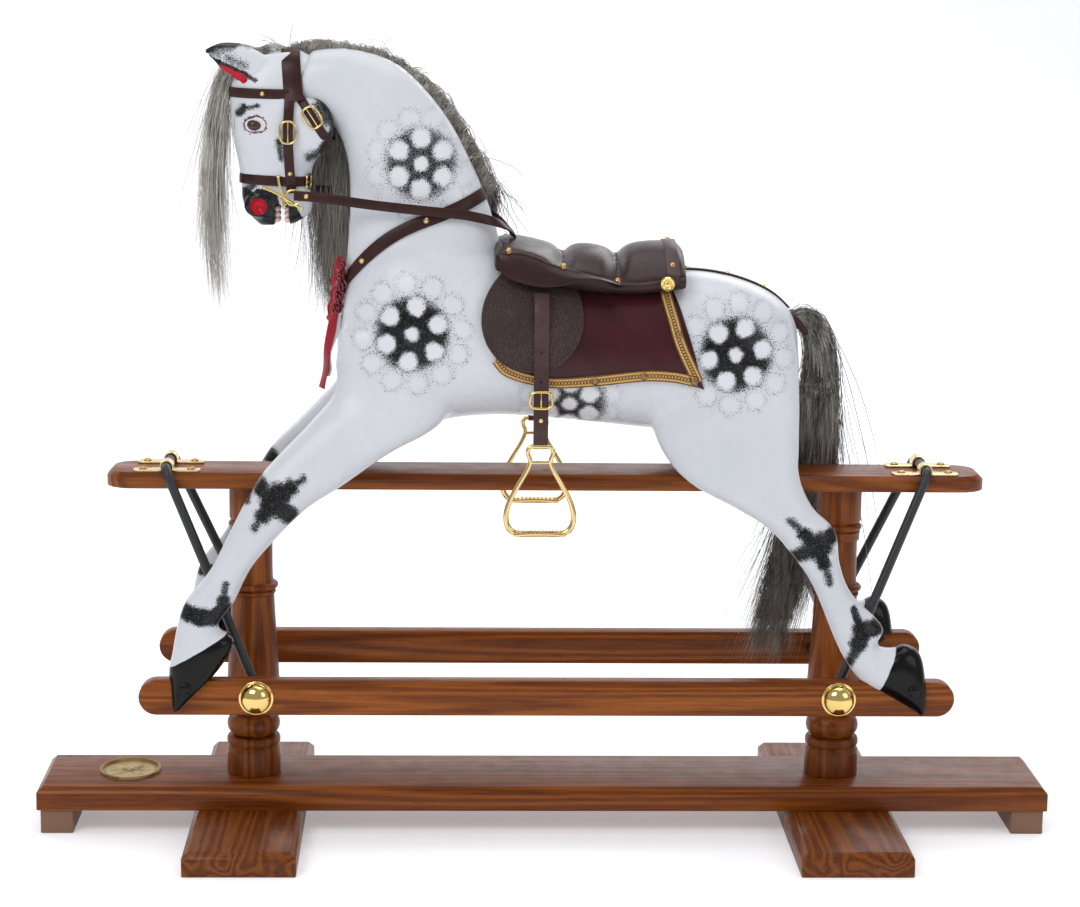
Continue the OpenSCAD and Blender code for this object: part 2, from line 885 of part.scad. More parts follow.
module saddle_cloth() {
    color("#5a1016") barrel_sheet([[-113, -60], [113, -60]],
        [[-113, 198], [-60, 168], [0, 150], [60, 168], [113, 198]], -113, 113, 0.6, 2.4, 8, 24);
}

module side_braid(s) {
    barrel_sheet([[-113, -60], [113, -60]], [[-113, 198], [113, 198]],
        s > 0 ? 105 : -113, s > 0 ? 113 : -105, 2.6, 4, 8, 1);
    barrel_sheet([[-105, 178], [-60, 152], [-45, 146], [45, 146], [60, 152], [105, 178]],
        [[-105, 194], [-60, 168], [-45, 162], [45, 162], [60, 168], [105, 194]],
        s > 0 ? 45 : -104.5, s > 0 ? 104.5 : -45, 2.6, 4, 1, 8);
}

module cloth_braid() {
    color("#b9853a") {
        side_braid(1);
        side_braid(-1);
    }
}

module saddle_seat() {
    color("#3a2324") barrel_sheet([[-48, -60], [0, -76], [48, -60]],
        [[-48, 172], [0, 178], [48, 172]], -48, 48, 4.4, -13, 14, 12);
}

module skirt() {
    barrel_sheet([[48, -62], [66, -48]], [[48, 70], [66, 44]], 49, 64, 19, 21.8, 8, 5);
}

module near_skirt() {
    color("#3a2324") skirt();
}

module far_skirt() {
    color("#3a2324") far_side() skirt();
}

// Round leather flap lying on the side of the barrel
module flap() {
    spread = 57.3 / 106;
    function grid(off) = [
        for (k = [0 : 4])
            [for (i = [0 : 28])
                let (t = 360 * i / 28, r = max(k / 4, 0.02) * flap_diameter / 2)
                on_barrel(-25 + r * cos(t), 72 - r * sin(t) * spread, off)]
    ];
    inner = grid(4.6);
    outer = grid(7.6);
    rim_sheet(inner, outer);
}

// Closed round sheet from rings of points, the first ring closest to the middle
module rim_sheet(inner, outer) {
    rows = len(inner);
    cols = len(inner[0]) - 1;
    n = rows * cols;
    points = concat(
        [for (r = inner) for (j = [0 : cols - 1]) r[j]],
        [for (r = outer) for (j = [0 : cols - 1]) r[j]]
    );
    skin = [
        for (i = [0 : rows - 2], j = [0 : cols - 1])
            let (k = (j + 1) % cols, a = i * cols + j, b = i * cols + k, c = a + cols, d = b + cols)
            each [[a, b, d], [a, d, c], [n + a, n + d, n + b], [n + a, n + c, n + d]]
    ];
    wall = [
        for (j = [0 : cols - 1])
            let (k = (j + 1) % cols, a = (rows - 1) * cols + j, b = (rows - 1) * cols + k)
            each [[a, b, n + b], [a, n + b, n + a]]
    ];
    hub = [
        [for (j = [cols - 1 : -1 : 0]) j],
        [for (j = [0 : cols - 1]) n + j]
    ];
    polyhedron(points, concat(skin, wall, hub));
}

module near_flap() {
    color("#4f4241") flap();
}

module far_flap() {
    color("#4f4241") far_side() flap();
}

module stud(p, turn, size = 7) {
    translate(p) rotate(turn) scale([1, 1, 0.55]) sphere(d = size, $fn = 20);
}

function stud_turn(a) = [bulge(sin(a), 2) * 90, 0, 0];

module saddle_studs() {
    color("#c8a866") {
        for (s = [-1, 1]) {
            for (x = [-20 : 54 : 196])
                stud(on_barrel(x, 109 * s, 4.6), stud_turn(90 * s));
            for (a = [72, 90])
                stud(on_barrel(lookup(a, [[60, 160], [105, 186]]), a * s, 4.6), stud_turn(a * s));
            stud(on_barrel(156, 48 * s, 5.4), stud_turn(48 * s), 15);
            for (x = [-30, 30, 90, 150])
                stud(on_barrel(x, 46 * s, 13.6), stud_turn(46 * s));
        }
        for (x = [184, 238, 290])
            stud(on_barrel(x, 0, 3.4), [0, 0, 0]);
    }
}

// ---------------------------------------------------------------- straps on the body

module crupper_strap() {
    color("#382221") {
        barrel_sheet([[-5, 174], [5, 174]], [[-5, 333], [5, 333]], -5, 5, 0.8, 3.2, 10, 2);
        translate([336, 0, 694 + horse_up]) rotate([0, 50, 0])
            rotate_extrude() translate([18, 0]) circle(r = 4.5, $fn = 16);
    }
}

module breast_strap() {
    color("#382221")
        hoop([-286, 690 + horse_up], [-68, 852 + horse_up], 0, 69, [9, -12], 2.6, 28);
}

module rosette(z, size) {
    translate([-284, -30, z + horse_up]) rotate([0, -80, 0]) scale([size, size, 9]) sphere(r = 1);
}

module rosettes() {
    color("#8a0d2c") {
        rosette(745, 20);
        rosette(706, 20);
    }
}

module ribbon() {
    color("#8a0d2c")
        strip([[-288, -40, 690 + horse_up], [-292, -44, 655 + horse_up], [-300, -50, 606 + horse_up]],
            14, 2);
}

// ---------------------------------------------------------------- bridle

module headpiece() {
    color("#382221")
        band([-345, 1052 + horse_up], [-318, 890 + horse_up], 0, 44, [24, 6], -92, 92, 16);
}

module browband() {
    color("#382221")
        band([-427, 996 + horse_up], [-330, 992 + horse_up], 0, 43, [1, 14], -100, 100, 16);
}

module cheek_straps() {
    color("#382221") for (s = [-1, 1])
        strip([[-346, s * 48, 990 + horse_up], [-345, s * 50.5, 950 + horse_up],
            [-345, s * 44, 905 + horse_up], [-342, s * 38, 862 + horse_up]], strap);
}

module throat_latch() {
    color("#382221")
        band([-338, 1002 + horse_up], [-288, 925 + horse_up], 0, 47, [10, 7], 40, 320, 20);
}

module noseband() {
    color("#382221") hoop([-413, 881 + horse_up], [-315, 876 + horse_up], 0, 36, [0.6, 13]);
}

// Oval buckle frame standing in the XZ plane
module oval_buckle(p, lean, wide, high, wire = 2.4) {
    translate(p) rotate([0, lean, 0]) rotate([90, 0, 0])
        difference() {
            scale([wide / 2, high / 2, 1]) cylinder(r = 1, h = wire, center = true);
            scale([wide / 2 - wire, high / 2 - wire, 1]) cylinder(r = 1, h = wire + 2, center = true);
        }
}

module bridle_buckles() {
    color("#d0ad62")
        for (s = [-1, 1]) {
            oval_buckle([-345, s * 53.6, 940 + horse_up], 0, 22, 30);
            oval_buckle([-309, s * 51.2, 953 + horse_up], -30, 22, 30);
            oval_buckle([-317, s * 34, 878 + horse_up], 0, 12, 20, 2);
            stud([-345, s * 44, 890 + horse_up], [90, 0, 0], 6);
            stud([-363, s * 46, 995 + horse_up], [90, 0, 0], 6);
        }
}

// Straight round bar between two points in one XZ plane
module bar(from, to, radius) {
    d = to - from;
    translate(from) rotate([0, atan2(d[0], d[2]), 0]) cylinder(r = radius, h = norm(d));
}

module bit() {
    color("#c9a765") {
        for (s = [-1, 1]) {
            bar([-372, s * 43, 868 + horse_up], [-331, s * 43, 845 + horse_up], 2);
            translate([-340, s * 43, 858 + horse_up]) rotate([90, 0, 0]) difference() {
                cylinder(r = 11, h = 3, center = true);
                cylinder(r = 8, h = 5, center = true);
            }
        }
        translate([-354, -43, 857.8 + horse_up]) rotate([-90, 0, 0]) cylinder(r = 3, h = 86);
    }
}

module reins() {
    color("#382221") for (s = [-1, 1])
        strip([[-334, s * 47, 862 + horse_up], [-280, s * 58, 858 + horse_up],
            [-200, s * 63, 848 + horse_up], [-130, s * 58, 840 + horse_up],
            [-80, s * 44, 834 + horse_up], [-50, s * 18, 818 + horse_up]], strap);
}

// ---------------------------------------------------------------- stirrups

stirrup_x = -13;
// The leather starts under the skirt and clears the flap and the skirt by the same gap
hang_a = 55;
hang_off = 12.1;
hang_y = -(half_barrel + hang_off);
loop_z = 538 + horse_up;

// Points down the outer side of the flap and then straight to the stirrup loop
function hang_line() = concat(
    [for (a = [hang_a : 5 : 90]) on_barrel(stirrup_x, a, hang_off)],
    [[stirrup_x, hang_y, 640 + horse_up], [stirrup_x, hang_y, loop_z + 7]]
);

module stirrup_leather() {
    line = hang_line();
    m = len(line);
    side = [leather_width / 2, 0, 0];
    function across(i) =
        let (d = line[min(i + 1, m - 1)] - line[max(i - 1, 0)])
        [0, d[2], -d[1]] / norm([d[1], d[2]]);
    sheet(
        [for (i = [0 : m - 1]) [line[i] - across(i) * 2 - side, line[i] - across(i) * 2 + side]],
        [for (i = [0 : m - 1]) [line[i] + across(i) * 2 - side, line[i] + across(i) * 2 + side]]
    );
    // Loop of leather round the top bar of the stirrup iron
    translate([stirrup_x, hang_y, loop_z]) rotate([0, 90, 0]) difference() {
        cylinder(r = 7.4, h = leather_width, center = true);
        cylinder(r = 3.8, h = leather_width + 2, center = true);
    }
}

module near_stirrup_leather() {
    color("#382221") stirrup_leather();
}

module far_stirrup_leather() {
    color("#382221") far_side() stirrup_leather();
}

module stirrup_buckle() {
    translate([stirrup_x, hang_y - 4.2, 601 + horse_up]) rotate([90, 0, 0])
        linear_extrude(2.6, center = true) difference() {
            square([31, 30], center = true);
            square([24, 23], center = true);
        }
    translate([stirrup_x, hang_y - 4.2, 601 + horse_up]) cube([3, 2.6, 23.5], center = true);
    stud([stirrup_x, hang_y - 2.6, 572 + horse_up], [90, 0, 0], 8);
}

module near_stirrup_buckle() {
    color("#c8a866") stirrup_buckle();
}

module far_stirrup_buckle() {
    color("#c8a866") far_side() stirrup_buckle();
}

module stirrup_iron() {
    low = loop_z - 114;
    w = stirrup_width / 2;
    half = [[14, 0, loop_z], [20, 0, loop_z], [18, 0, loop_z - 16], [w * 0.9, 0, low + 44],
        [w, 0, low + 22], [w * 0.9, 0, low], [w * 0.55, 0, low]];
    translate([stirrup_x, hang_y, 0]) {
        translate([-17, 0, loop_z]) rotate([0, 90, 0]) cylinder(r = 3, h = 34);
        tube(rounded(half, 4.2, 3), 2.9, [0, 1, 0], 12);
        mirror([1, 0, 0]) tube(rounded(half, 4.2, 3), 2.9, [0, 1, 0], 12);
        translate([0, 0, low]) cube([w * 1.6, 15, 3], center = true);
    }
}

module near_stirrup_iron() {
    color("#c9a765") stirrup_iron();
}

module far_stirrup_iron() {
    color("#c9a765") far_side() stirrup_iron();
}
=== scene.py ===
"""Rocking horse on a floor stand: the looks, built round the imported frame."""

import logging
import math
from dataclasses import dataclass, field
from enum import Enum
from typing import Callable, Iterable, Sequence

import bpy
import numpy as np
from mathutils import Matrix, Vector
from mathutils.bvhtree import BVHTree


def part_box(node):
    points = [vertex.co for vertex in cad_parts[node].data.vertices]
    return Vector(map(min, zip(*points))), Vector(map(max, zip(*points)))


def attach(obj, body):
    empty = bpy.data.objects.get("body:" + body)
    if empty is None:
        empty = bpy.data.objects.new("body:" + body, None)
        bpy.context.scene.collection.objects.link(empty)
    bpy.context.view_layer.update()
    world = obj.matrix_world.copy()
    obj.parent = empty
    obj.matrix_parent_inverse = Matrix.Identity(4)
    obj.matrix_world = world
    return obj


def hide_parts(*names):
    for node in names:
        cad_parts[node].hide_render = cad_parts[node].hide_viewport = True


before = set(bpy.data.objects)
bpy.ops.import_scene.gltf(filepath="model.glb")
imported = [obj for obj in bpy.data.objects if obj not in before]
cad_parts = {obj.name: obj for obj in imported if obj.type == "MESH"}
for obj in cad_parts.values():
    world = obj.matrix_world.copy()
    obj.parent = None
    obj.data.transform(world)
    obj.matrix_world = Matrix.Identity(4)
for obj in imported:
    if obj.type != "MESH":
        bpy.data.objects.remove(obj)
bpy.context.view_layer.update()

MM = 0.001
NEAR, FAR = -1, 1
LOG = logging.getLogger("rocking_horse")

Point = Sequence[float]


# ---------------------------------------------------------------- numbers and curves

def mm(*values: float) -> Vector:
    """Turns millimetres into a vector in metres."""
    return Vector([v * MM for v in values])


def paint(red: int, green: int, blue: int) -> tuple[float, float, float, float]:
    """Turns an everyday 0 to 255 colour into the linear colour that the shaders use."""
    def linear(v: float) -> float:
        """One channel."""
        v /= 255
        return v / 12.92 if v <= 0.04045 else ((v + 0.055) / 1.055) ** 2.4
    return (linear(red), linear(green), linear(blue), 1.0)


def smooth_rows(rows: Sequence[Sequence[float]], steps: int) -> np.ndarray:
    """Runs a smooth curve through rows of numbers.

    Args:
        rows: The rows to pass through, all of one length.
        steps: How many steps each interval is split into.

    Returns:
        The rows of the finer curve, the first and last unchanged.
    """
    p = np.array(rows, float)
    q = np.vstack([2 * p[0] - p[1], p, 2 * p[-1] - p[-2]])
    out = []
    for i in range(len(p) - 1):
        a, b, c, d = q[i], q[i + 1], q[i + 2], q[i + 3]
        for t in np.arange(steps) / steps:
            out.append(0.5 * (2 * b + (c - a) * t + (2 * a - 5 * b + 4 * c - d) * t * t
                              + (3 * b - a - 3 * c + d) * t ** 3))
    out.append(p[-1])
    return np.array(out)


def resample(path: np.ndarray, spacing: float) -> np.ndarray:
    """Spaces the points of a path evenly.

    Args:
        path: Points along the path, in metres.
        spacing: Wanted distance between points, in metres.

    Returns:
        Evenly spaced points from the first to the last.
    """
    along = np.concatenate([[0], np.cumsum(np.linalg.norm(np.diff(path, axis=0), axis=1))])
    count = max(int(round(along[-1] / spacing)), 2)
    at = np.linspace(0, along[-1], count + 1)
    return np.stack([np.interp(at, along, path[:, k]) for k in range(path.shape[1])], 1)


def curve_through(points: Sequence[Point], spacing: float = 4.0) -> np.ndarray:
    """Smooth, evenly spaced path through points given in millimetres.

    Args:
        points: Points to pass through.
        spacing: Distance between the path's points in millimetres.

    Returns:
        The path in metres.
    """
    return resample(smooth_rows(points, 12) * MM, spacing * MM)


def bulge(t: np.ndarray, power: float) -> np.ndarray:
    """Superellipse coordinate of a cosine or sine."""
    return np.sign(t) * np.abs(t) ** (2 / power)


def rounded_corner(a: Vector, b: Vector, c: Vector, radius: float, steps: int = 8) -> list[Vector]:
    """Points of a round bend.

    Args:
        a: Point before the corner.
        b: The corner.
        c: Point after the corner.
        radius: Radius of the bend.
        steps: Number of steps round the bend.

    Returns:
        The points, from the side of a to the side of c.
    """
    u, v = (a - b).normalized(), (c - b).normalized()
    half = u.angle(v) / 2
    hub = b + (u + v).normalized() * radius / math.sin(half)
    p, q = b + u * radius / math.tan(half) - hub, b + v * radius / math.tan(half) - hub
    turn = math.pi - 2 * half
    return [hub + (p * math.sin(turn * (1 - i / steps)) + q * math.sin(turn * i / steps)) / math.sin(turn)
            for i in range(steps + 1)]


def rounded_path(points: Sequence[Vector], radius: float, steps: int = 8) -> list[Vector]:
    """Path with every inner corner rounded."""
    inner = [q for a, b, c in zip(points, points[1:], points[2:])
             for q in rounded_corner(a, b, c, radius, steps)]
    return [points[0], *inner, points[-1]]


def ways_along(path: np.ndarray, closed: bool = False) -> np.ndarray:
    """Unit directions along a path."""
    ways = np.roll(path, -1, 0) - np.roll(path, 1, 0) if closed else np.gradient(path, axis=0)
    return ways / np.linalg.norm(ways, axis=1)[:, None]


def one_way(way: Point, path: np.ndarray) -> np.ndarray:
    """The same direction for every point of a path."""
    return np.tile(np.array(way, float), (len(path), 1))


def closest(path: np.ndarray, spot: Point) -> int:
    """Number of the point of a path that is closest to a spot."""
    return int(np.argmin(np.linalg.norm(path - np.array(spot), axis=1)))


def side_line(points: Iterable[tuple[float, float]], spacing: float) -> np.ndarray:
    """Smooth, evenly spaced line through points seen from the side, in millimetres."""
    return curve_through([(x, 0, z) for x, z in points], spacing) / MM


def corner_ring(middle: Point, reach: tuple[float, float], radius: float, rise: float,
                step: float) -> list[Vector]:
    """Level rectangle with round corners, in millimetres.

    Args:
        middle: Middle of the board that it belongs to.
        reach: How far the hubs of the corners are from the middle, along and across.
        radius: Radius of the corners.
        rise: Height over the middle.
        step: Degrees between two points of a corner.

    Returns:
        Its points in metres.
    """
    return [mm(middle[0] + sx * reach[0] + radius * math.cos(a), middle[1] + sy * reach[1] + radius * math.sin(a),
               middle[2] + rise)
            for sx, sy, start in ((1, 1, 0), (-1, 1, 90), (-1, -1, 180), (1, -1, 270))
            for a in np.radians(np.arange(start, start + 91, step))]


# ---------------------------------------------------------------- mesh building

class Sketch:
    """Gathers vertices and faces, in metres, and turns them into one object."""

    def __init__(self) -> None:
        """Starts empty."""
        self.points: list[np.ndarray] = []
        self.faces: list[tuple[int, ...]] = []
        self.count = 0

    def add(self, points: Iterable[Point], faces: Iterable[Sequence[int]]) -> "Sketch":
        """Adds points and the faces between them.

        Args:
            points: The new points.
            faces: Faces that count from the first new point.

        Returns:
            This sketch.
        """
        block = np.array([tuple(p) for p in points], float)
        self.faces += [tuple(i + self.count for i in f) for f in faces]
        self.points.append(block)
        self.count += len(block)
        return self

    def loft(self, rings: Sequence[Sequence[Point]], closed: bool = False, caps: bool = True) -> "Sketch":
        """Skins a row of closed sections.

        Args:
            rings: Sections with the same number of points.
            closed: Whether the last section joins the first.
            caps: Whether the end sections are filled.

        Returns:
            This sketch.
        """
        n, m = len(rings[0]), len(rings)
        faces = [(k * n + i, k * n + (i + 1) % n, (k + 1) % m * n + (i + 1) % n, (k + 1) % m * n + i)
                 for k in range(m if closed else m - 1) for i in range(n)]
        if caps and not closed:
            faces += [tuple(range(n))[::-1], tuple((m - 1) * n + i for i in range(n))]
        return self.add([p for r in rings for p in r], faces)

    def tube(self, path: Sequence[Point], radius: float | Sequence[float], sides: int = 16,
             closed: bool = False) -> "Sketch":
        """Sweeps a round tube along a path.

        Args:
            path: Points along the middle of the tube.
            radius: One radius, or one for each point.
            sides: Sides of the section.
            closed: Whether the path is a loop.

        Returns:
            This sketch.
        """
        p = np.array([tuple(q) for q in path], float)
        ways, ups = carried_frames(p, closed)
        sizes = np.broadcast_to(radius, len(p))
        turn = np.arange(sides) * 2 * math.pi / sides
        rings = [p[i] + sizes[i] * (np.outer(np.cos(turn), ups[i])
                                    + np.outer(np.sin(turn), np.cross(ways[i], ups[i])))
                 for i in range(len(p))]
        return self.loft(rings, closed)

    def lathe(self, outline: Sequence[tuple[float, float]], centre: Point, axis: Point = (0, 0, 1),
              steps: int = 48, squash: tuple[float, float] = (1, 1)) -> "Sketch":
        """Turns an outline round an axis.

        Args:
            outline: (radius, height) pairs in millimetres, from one end to the other.
            centre: Point of height zero, in metres.
            axis: Direction of growing height.
            steps: Steps round the axis.
            squash: Factors on the two directions across the axis.

        Returns:
            This sketch.
        """
        spin = Vector(axis).to_track_quat("Z", "Y").to_matrix()
        base = Vector(centre)
        rings = []
        for r, h in outline:
            r = max(r, 0.01)
            rings.append([base + spin @ mm(r * squash[0] * math.cos(a), r * squash[1] * math.sin(a), h)
                          for a in np.arange(steps) * 2 * math.pi / steps])
        return self.loft(rings)

    def slab(self, size: Point, centre: Point, ease: float = 1.2, cut: float = 0.0) -> "Sketch":
        """Adds a board with softened edges.

        Args:
            size: Length, width and thickness in millimetres.
            centre: Middle of the board in millimetres.
            ease: How far each edge is rounded.
            cut: Size of a 45 degree cut along the four top edges.

        Returns:
            This sketch.
        """
        l, w, h = (v / 2 for v in size)
        rows = [(ease, -h), (0.3 * ease, -h + 0.3 * ease), (0, -h + ease)]
        if cut:
            rows += [(0, h - cut - ease / 2), (0.2 * ease, h - cut), (cut - 0.6 * ease, h - 0.8 * ease),
                     (cut - 0.1 * ease, h - 0.2 * ease), (cut + 0.4 * ease, h)]
        else:
            rows += [(0, h - ease), (0.3 * ease, h - 0.3 * ease), (ease, h)]
        rings = []
        for inset, z in rows:
            radius = max(ease * 1.5 - inset * 0.2, 0.4)
            rings.append(corner_ring(centre, (l - inset - radius, w - inset - radius), radius, z, 30))
        return self.loft(rings)

    def object(self, name: str, smooth: float | None = 35.0) -> bpy.types.Object:
        """Makes the object.

        Args:
            name: Name of the piece.
            smooth: Edges flatter than this many degrees are shaded smooth; None keeps them flat.

        Returns:
            The new object, linked to the scene.
        """
        mesh = bpy.data.meshes.new(name)
        mesh.from_pydata(np.vstack(self.points).tolist(), [], self.faces)
        return finish_mesh(name, mesh, smooth)


def activate(piece: bpy.types.Object) -> None:
    """Selects one object alone and makes it the active one."""
    bpy.ops.object.select_all(action="DESELECT")
    bpy.context.view_layer.objects.active = piece
    piece.select_set(True)


def finish_mesh(name: str, mesh: bpy.types.Mesh, smooth: float | None = 35.0) -> bpy.types.Object:
    """Links a mesh as an object, with its faces turned outward and shaded.

    Args:
        name: Name of the piece.
        mesh: Its mesh.
        smooth: Edges flatter than this many degrees are shaded smooth; None keeps them flat.

    Returns:
        The new object.
    """
    piece = bpy.data.objects.new(name, mesh)
    bpy.context.scene.collection.objects.link(piece)
    activate(piece)
    bpy.ops.object.mode_set(mode="EDIT")
    bpy.ops.mesh.select_all(action="SELECT")
    bpy.ops.mesh.normals_make_consistent(inside=False)
    bpy.ops.object.mode_set(mode="OBJECT")
    if smooth is not None:
        bpy.ops.object.shade_smooth_by_angle(angle=math.radians(smooth))
    return piece


def carried_frames(p: np.ndarray, closed: bool = False) -> tuple[np.ndarray, np.ndarray]:
    """Directions along a path and a sideways direction that never twists suddenly.

    Args:
        p: Points of the path.
        closed: Whether the path is a loop.

    Returns:
        Unit directions along the path, and unit directions across it.
    """
    ways = ways_along(p, closed)
    first = np.cross(ways[0], (0, 1, 0) if abs(ways[0][1]) < 0.9 else (1, 0, 0))
    ups = [first / np.linalg.norm(first)]
    for w in ways[1:]:
        u = ups[-1] - w * np.dot(ups[-1], w)
        ups.append(u / np.linalg.norm(u))
    return ways, np.array(ups)


def apply_modifier(piece: bpy.types.Object, kind: str, **settings: object) -> None:
    """Adds one modifier, sets it and applies it.

    Args:
        piece: The object.
        kind: Modifier type.
        **settings: Properties of the modifier.
    """
    step = piece.modifiers.new(kind.lower(), kind)
    for key, value in settings.items():
        setattr(step, key, value)
    activate(piece)
    bpy.ops.object.modifier_apply(modifier=step.name)


def remove(*pieces: bpy.types.Object) -> None:
    """Deletes helper objects."""
    for piece in pieces:
        bpy.data.objects.remove(piece)


def place(piece: bpy.types.Object, body: str, finish: "Finish", nodes: Iterable[str] = ()) -> bpy.types.Object:
    """Dresses a piece, fixes it to its body and lets it stand for the frame's nodes.

    Args:
        piece: The object.
        body: Body that it rides on.
        finish: Its finish.
        nodes: Nodes of the frame that it stands for.

    Returns:
        The same object.
    """
    piece.data.materials.clear()
    piece.data.materials.append(finish.material())
    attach(piece, body)
    if nodes:
        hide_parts(*nodes)
    LOG.info("%s on %s, %d faces", piece.name, body, len(piece.data.polygons))
    return piece


# ---------------------------------------------------------------- finishes

class Bench:
    """Lays out the nodes of one material."""

    def __init__(self, name: str) -> None:
        """Starts a material with its shader.

        Args:
            name: Name of the material.
        """
        self.material = bpy.data.materials.new(name)
        self.material.use_nodes = True
        self.tree = self.material.node_tree
        self.shader = self.tree.nodes["Principled BSDF"]
        self.place = self.node("ShaderNodeTexCoord").outputs["Object"]
        split = self.node("ShaderNodeSeparateXYZ")
        self.link(self.place, split.inputs[0])
        self.x, self.y, self.z = split.outputs

    def node(self, kind: str, **settings: object) -> bpy.types.Node:
        """Adds a node and sets its properties."""
        made = self.tree.nodes.new(kind)
        for key, value in settings.items():
            setattr(made, key, value)
        return made

    def link(self, source: object, target: bpy.types.NodeSocket) -> None:
        """Feeds a socket from another socket, or sets it to a number or colour."""
        if isinstance(source, bpy.types.NodeSocket):
            self.tree.links.new(source, target)
        else:
            target.default_value = source

    def math(self, operation: str, a: object, b: object = 0.0, c: object = 0.0) -> bpy.types.NodeSocket:
        """One arithmetic step.

        Args:
            operation: Blender's name of the operation.
            a: First number or socket.
            b: Second number or socket.
            c: Third number or socket.

        Returns:
            The result.
        """
        made = self.node("ShaderNodeMath", operation=operation)
        for value, target in zip((a, b, c), made.inputs):
            self.link(value, target)
        return made.outputs[0]

    def vector(self, operation: str, *values: object, out: int | str = 0) -> bpy.types.NodeSocket:
        """One step of vector arithmetic.

        Args:
            operation: Blender's name of the operation.
            *values: Sockets or vectors.
            out: Number or name of the result's socket.

        Returns:
            The result.
        """
        made = self.node("ShaderNodeVectorMath", operation=operation)
        for value, target in zip(values, made.inputs):
            self.link(value, target)
        return made.outputs[out]

    def stretched(self, scale: Point, at: object = None) -> bpy.types.NodeSocket:
        """Coordinates multiplied along each axis."""
        made = self.node("ShaderNodeMapping")
        self.link(at or self.place, made.inputs["Vector"])
        made.inputs["Scale"].default_value = scale
        return made.outputs[0]

    def noise(self, scale: float, detail: float = 4.0, rough: float = 0.55, at: object = None,
              bend: float = 0.0) -> bpy.types.NodeSocket:
        """Cloudy noise from 0 to 1.

        Args:
            scale: Blobs in a metre.
            detail: Number of finer layers.
            rough: Strength of the finer layers.
            at: Coordinates, or None for the object's own.
            bend: How far the noise folds over itself.

        Returns:
            The noise.
        """
        made = self.node("ShaderNodeTexNoise")
        self.link(at or self.place, made.inputs["Vector"])
        for key, value in (("Scale", scale), ("Detail", detail), ("Roughness", rough), ("Distortion", bend)):
            made.inputs[key].default_value = value
        return made.outputs[0]

    def cells(self, scale: float, feature: str = "F1", at: object = None) -> bpy.types.NodeSocket:
        """Distance in a pattern of random cells."""
        made = self.node("ShaderNodeTexVoronoi", feature=feature)
        self.link(at or self.place, made.inputs["Vector"])
        made.inputs["Scale"].default_value = scale
        return made.outputs["Distance"]

    def ramp(self, fac: object, *stops: tuple[float, tuple]) -> bpy.types.NodeSocket:
        """Colour by position on a scale of stops."""
        made = self.node("ShaderNodeValToRGB")
        band = made.color_ramp.elements
        while len(band) < len(stops):
            band.new(0.5)
        for stop, (position, colour) in zip(band, stops):
            stop.position = position
            stop.color = colour
        self.link(fac, made.inputs[0])
        return made.outputs[0]

    def mix(self, fac: object, a: object, b: object, blend: str = "MIX") -> bpy.types.NodeSocket:
        """Mixes two colours."""
        made = self.node("ShaderNodeMix", data_type="RGBA", blend_type=blend)
        self.link(fac, made.inputs[0])
        self.link(a, made.inputs[6])
        self.link(b, made.inputs[7])
        return made.outputs[2]

    def fade(self, value: object, low: float, high: float, start: float = 0.0,
             end: float = 1.0) -> bpy.types.NodeSocket:
        """Smooth step from start to end as the value goes from low to high."""
        made = self.node("ShaderNodeMapRange", interpolation_type="SMOOTHSTEP")
        for key, v in (("Value", value), ("From Min", low), ("From Max", high), ("To Min", start), ("To Max", end)):
            self.link(v, made.inputs[key])
        return made.outputs[0]

    def bump(self, height: object, depth: float, strength: float = 1.0,
             over: object = None) -> bpy.types.NodeSocket:
        """Surface relief.

        Args:
            height: Height pattern.
            depth: Depth of the relief in metres.
            strength: Share of the relief that shows.
            over: Relief that this one adds to.

        Returns:
            The normal.
        """
        made = self.node("ShaderNodeBump")
        made.inputs["Strength"].default_value = strength
        made.inputs["Distance"].default_value = depth
        self.link(height, made.inputs["Height"])
        if over is not None:
            self.link(over, made.inputs["Normal"])
        return made.outputs[0]

    def finish(self, colour: object = None, rough: object = None, normal: object = None,
               **sockets: float) -> bpy.types.Material:
        """Connects the shader.

        Args:
            colour: Base colour.
            rough: Roughness.
            normal: Relief.
            **sockets: Constant values of the shader, with _ for a space in the socket's name.

        Returns:
            The material.
        """
        if colour is not None:
            self.link(colour, self.shader.inputs["Base Color"])
        if rough is not None:
            self.link(rough, self.shader.inputs["Roughness"])
        if normal is not None:
            self.link(normal, self.shader.inputs["Normal"])
        for key, value in {"Specular_IOR_Level": 0.2, **sockets}.items():
            self.shader.inputs[key.replace("_", " ")].default_value = value
        return self.material


@dataclass(frozen=True)
class Finish:
    """A surface finish, made once and shared by the pieces that have it."""

    name: str
    slot: str

    def material(self) -> bpy.types.Material:
        """The material, made on first use."""
        return bpy.data.materials.get(self.name) or self.make(Bench(self.name))

    def make(self, bench: Bench) -> bpy.types.Material:
        """Lays out the material."""
        raise NotImplementedError


class Grain(Enum):
    """Direction of the grain: how much the pattern is drawn out along each axis."""

    ALONG_X = (0.035, 1.0, 1.0)
    ALONG_Y = (1.0, 0.035, 1.0)
    ALONG_Z = (1.0, 1.0, 0.035)


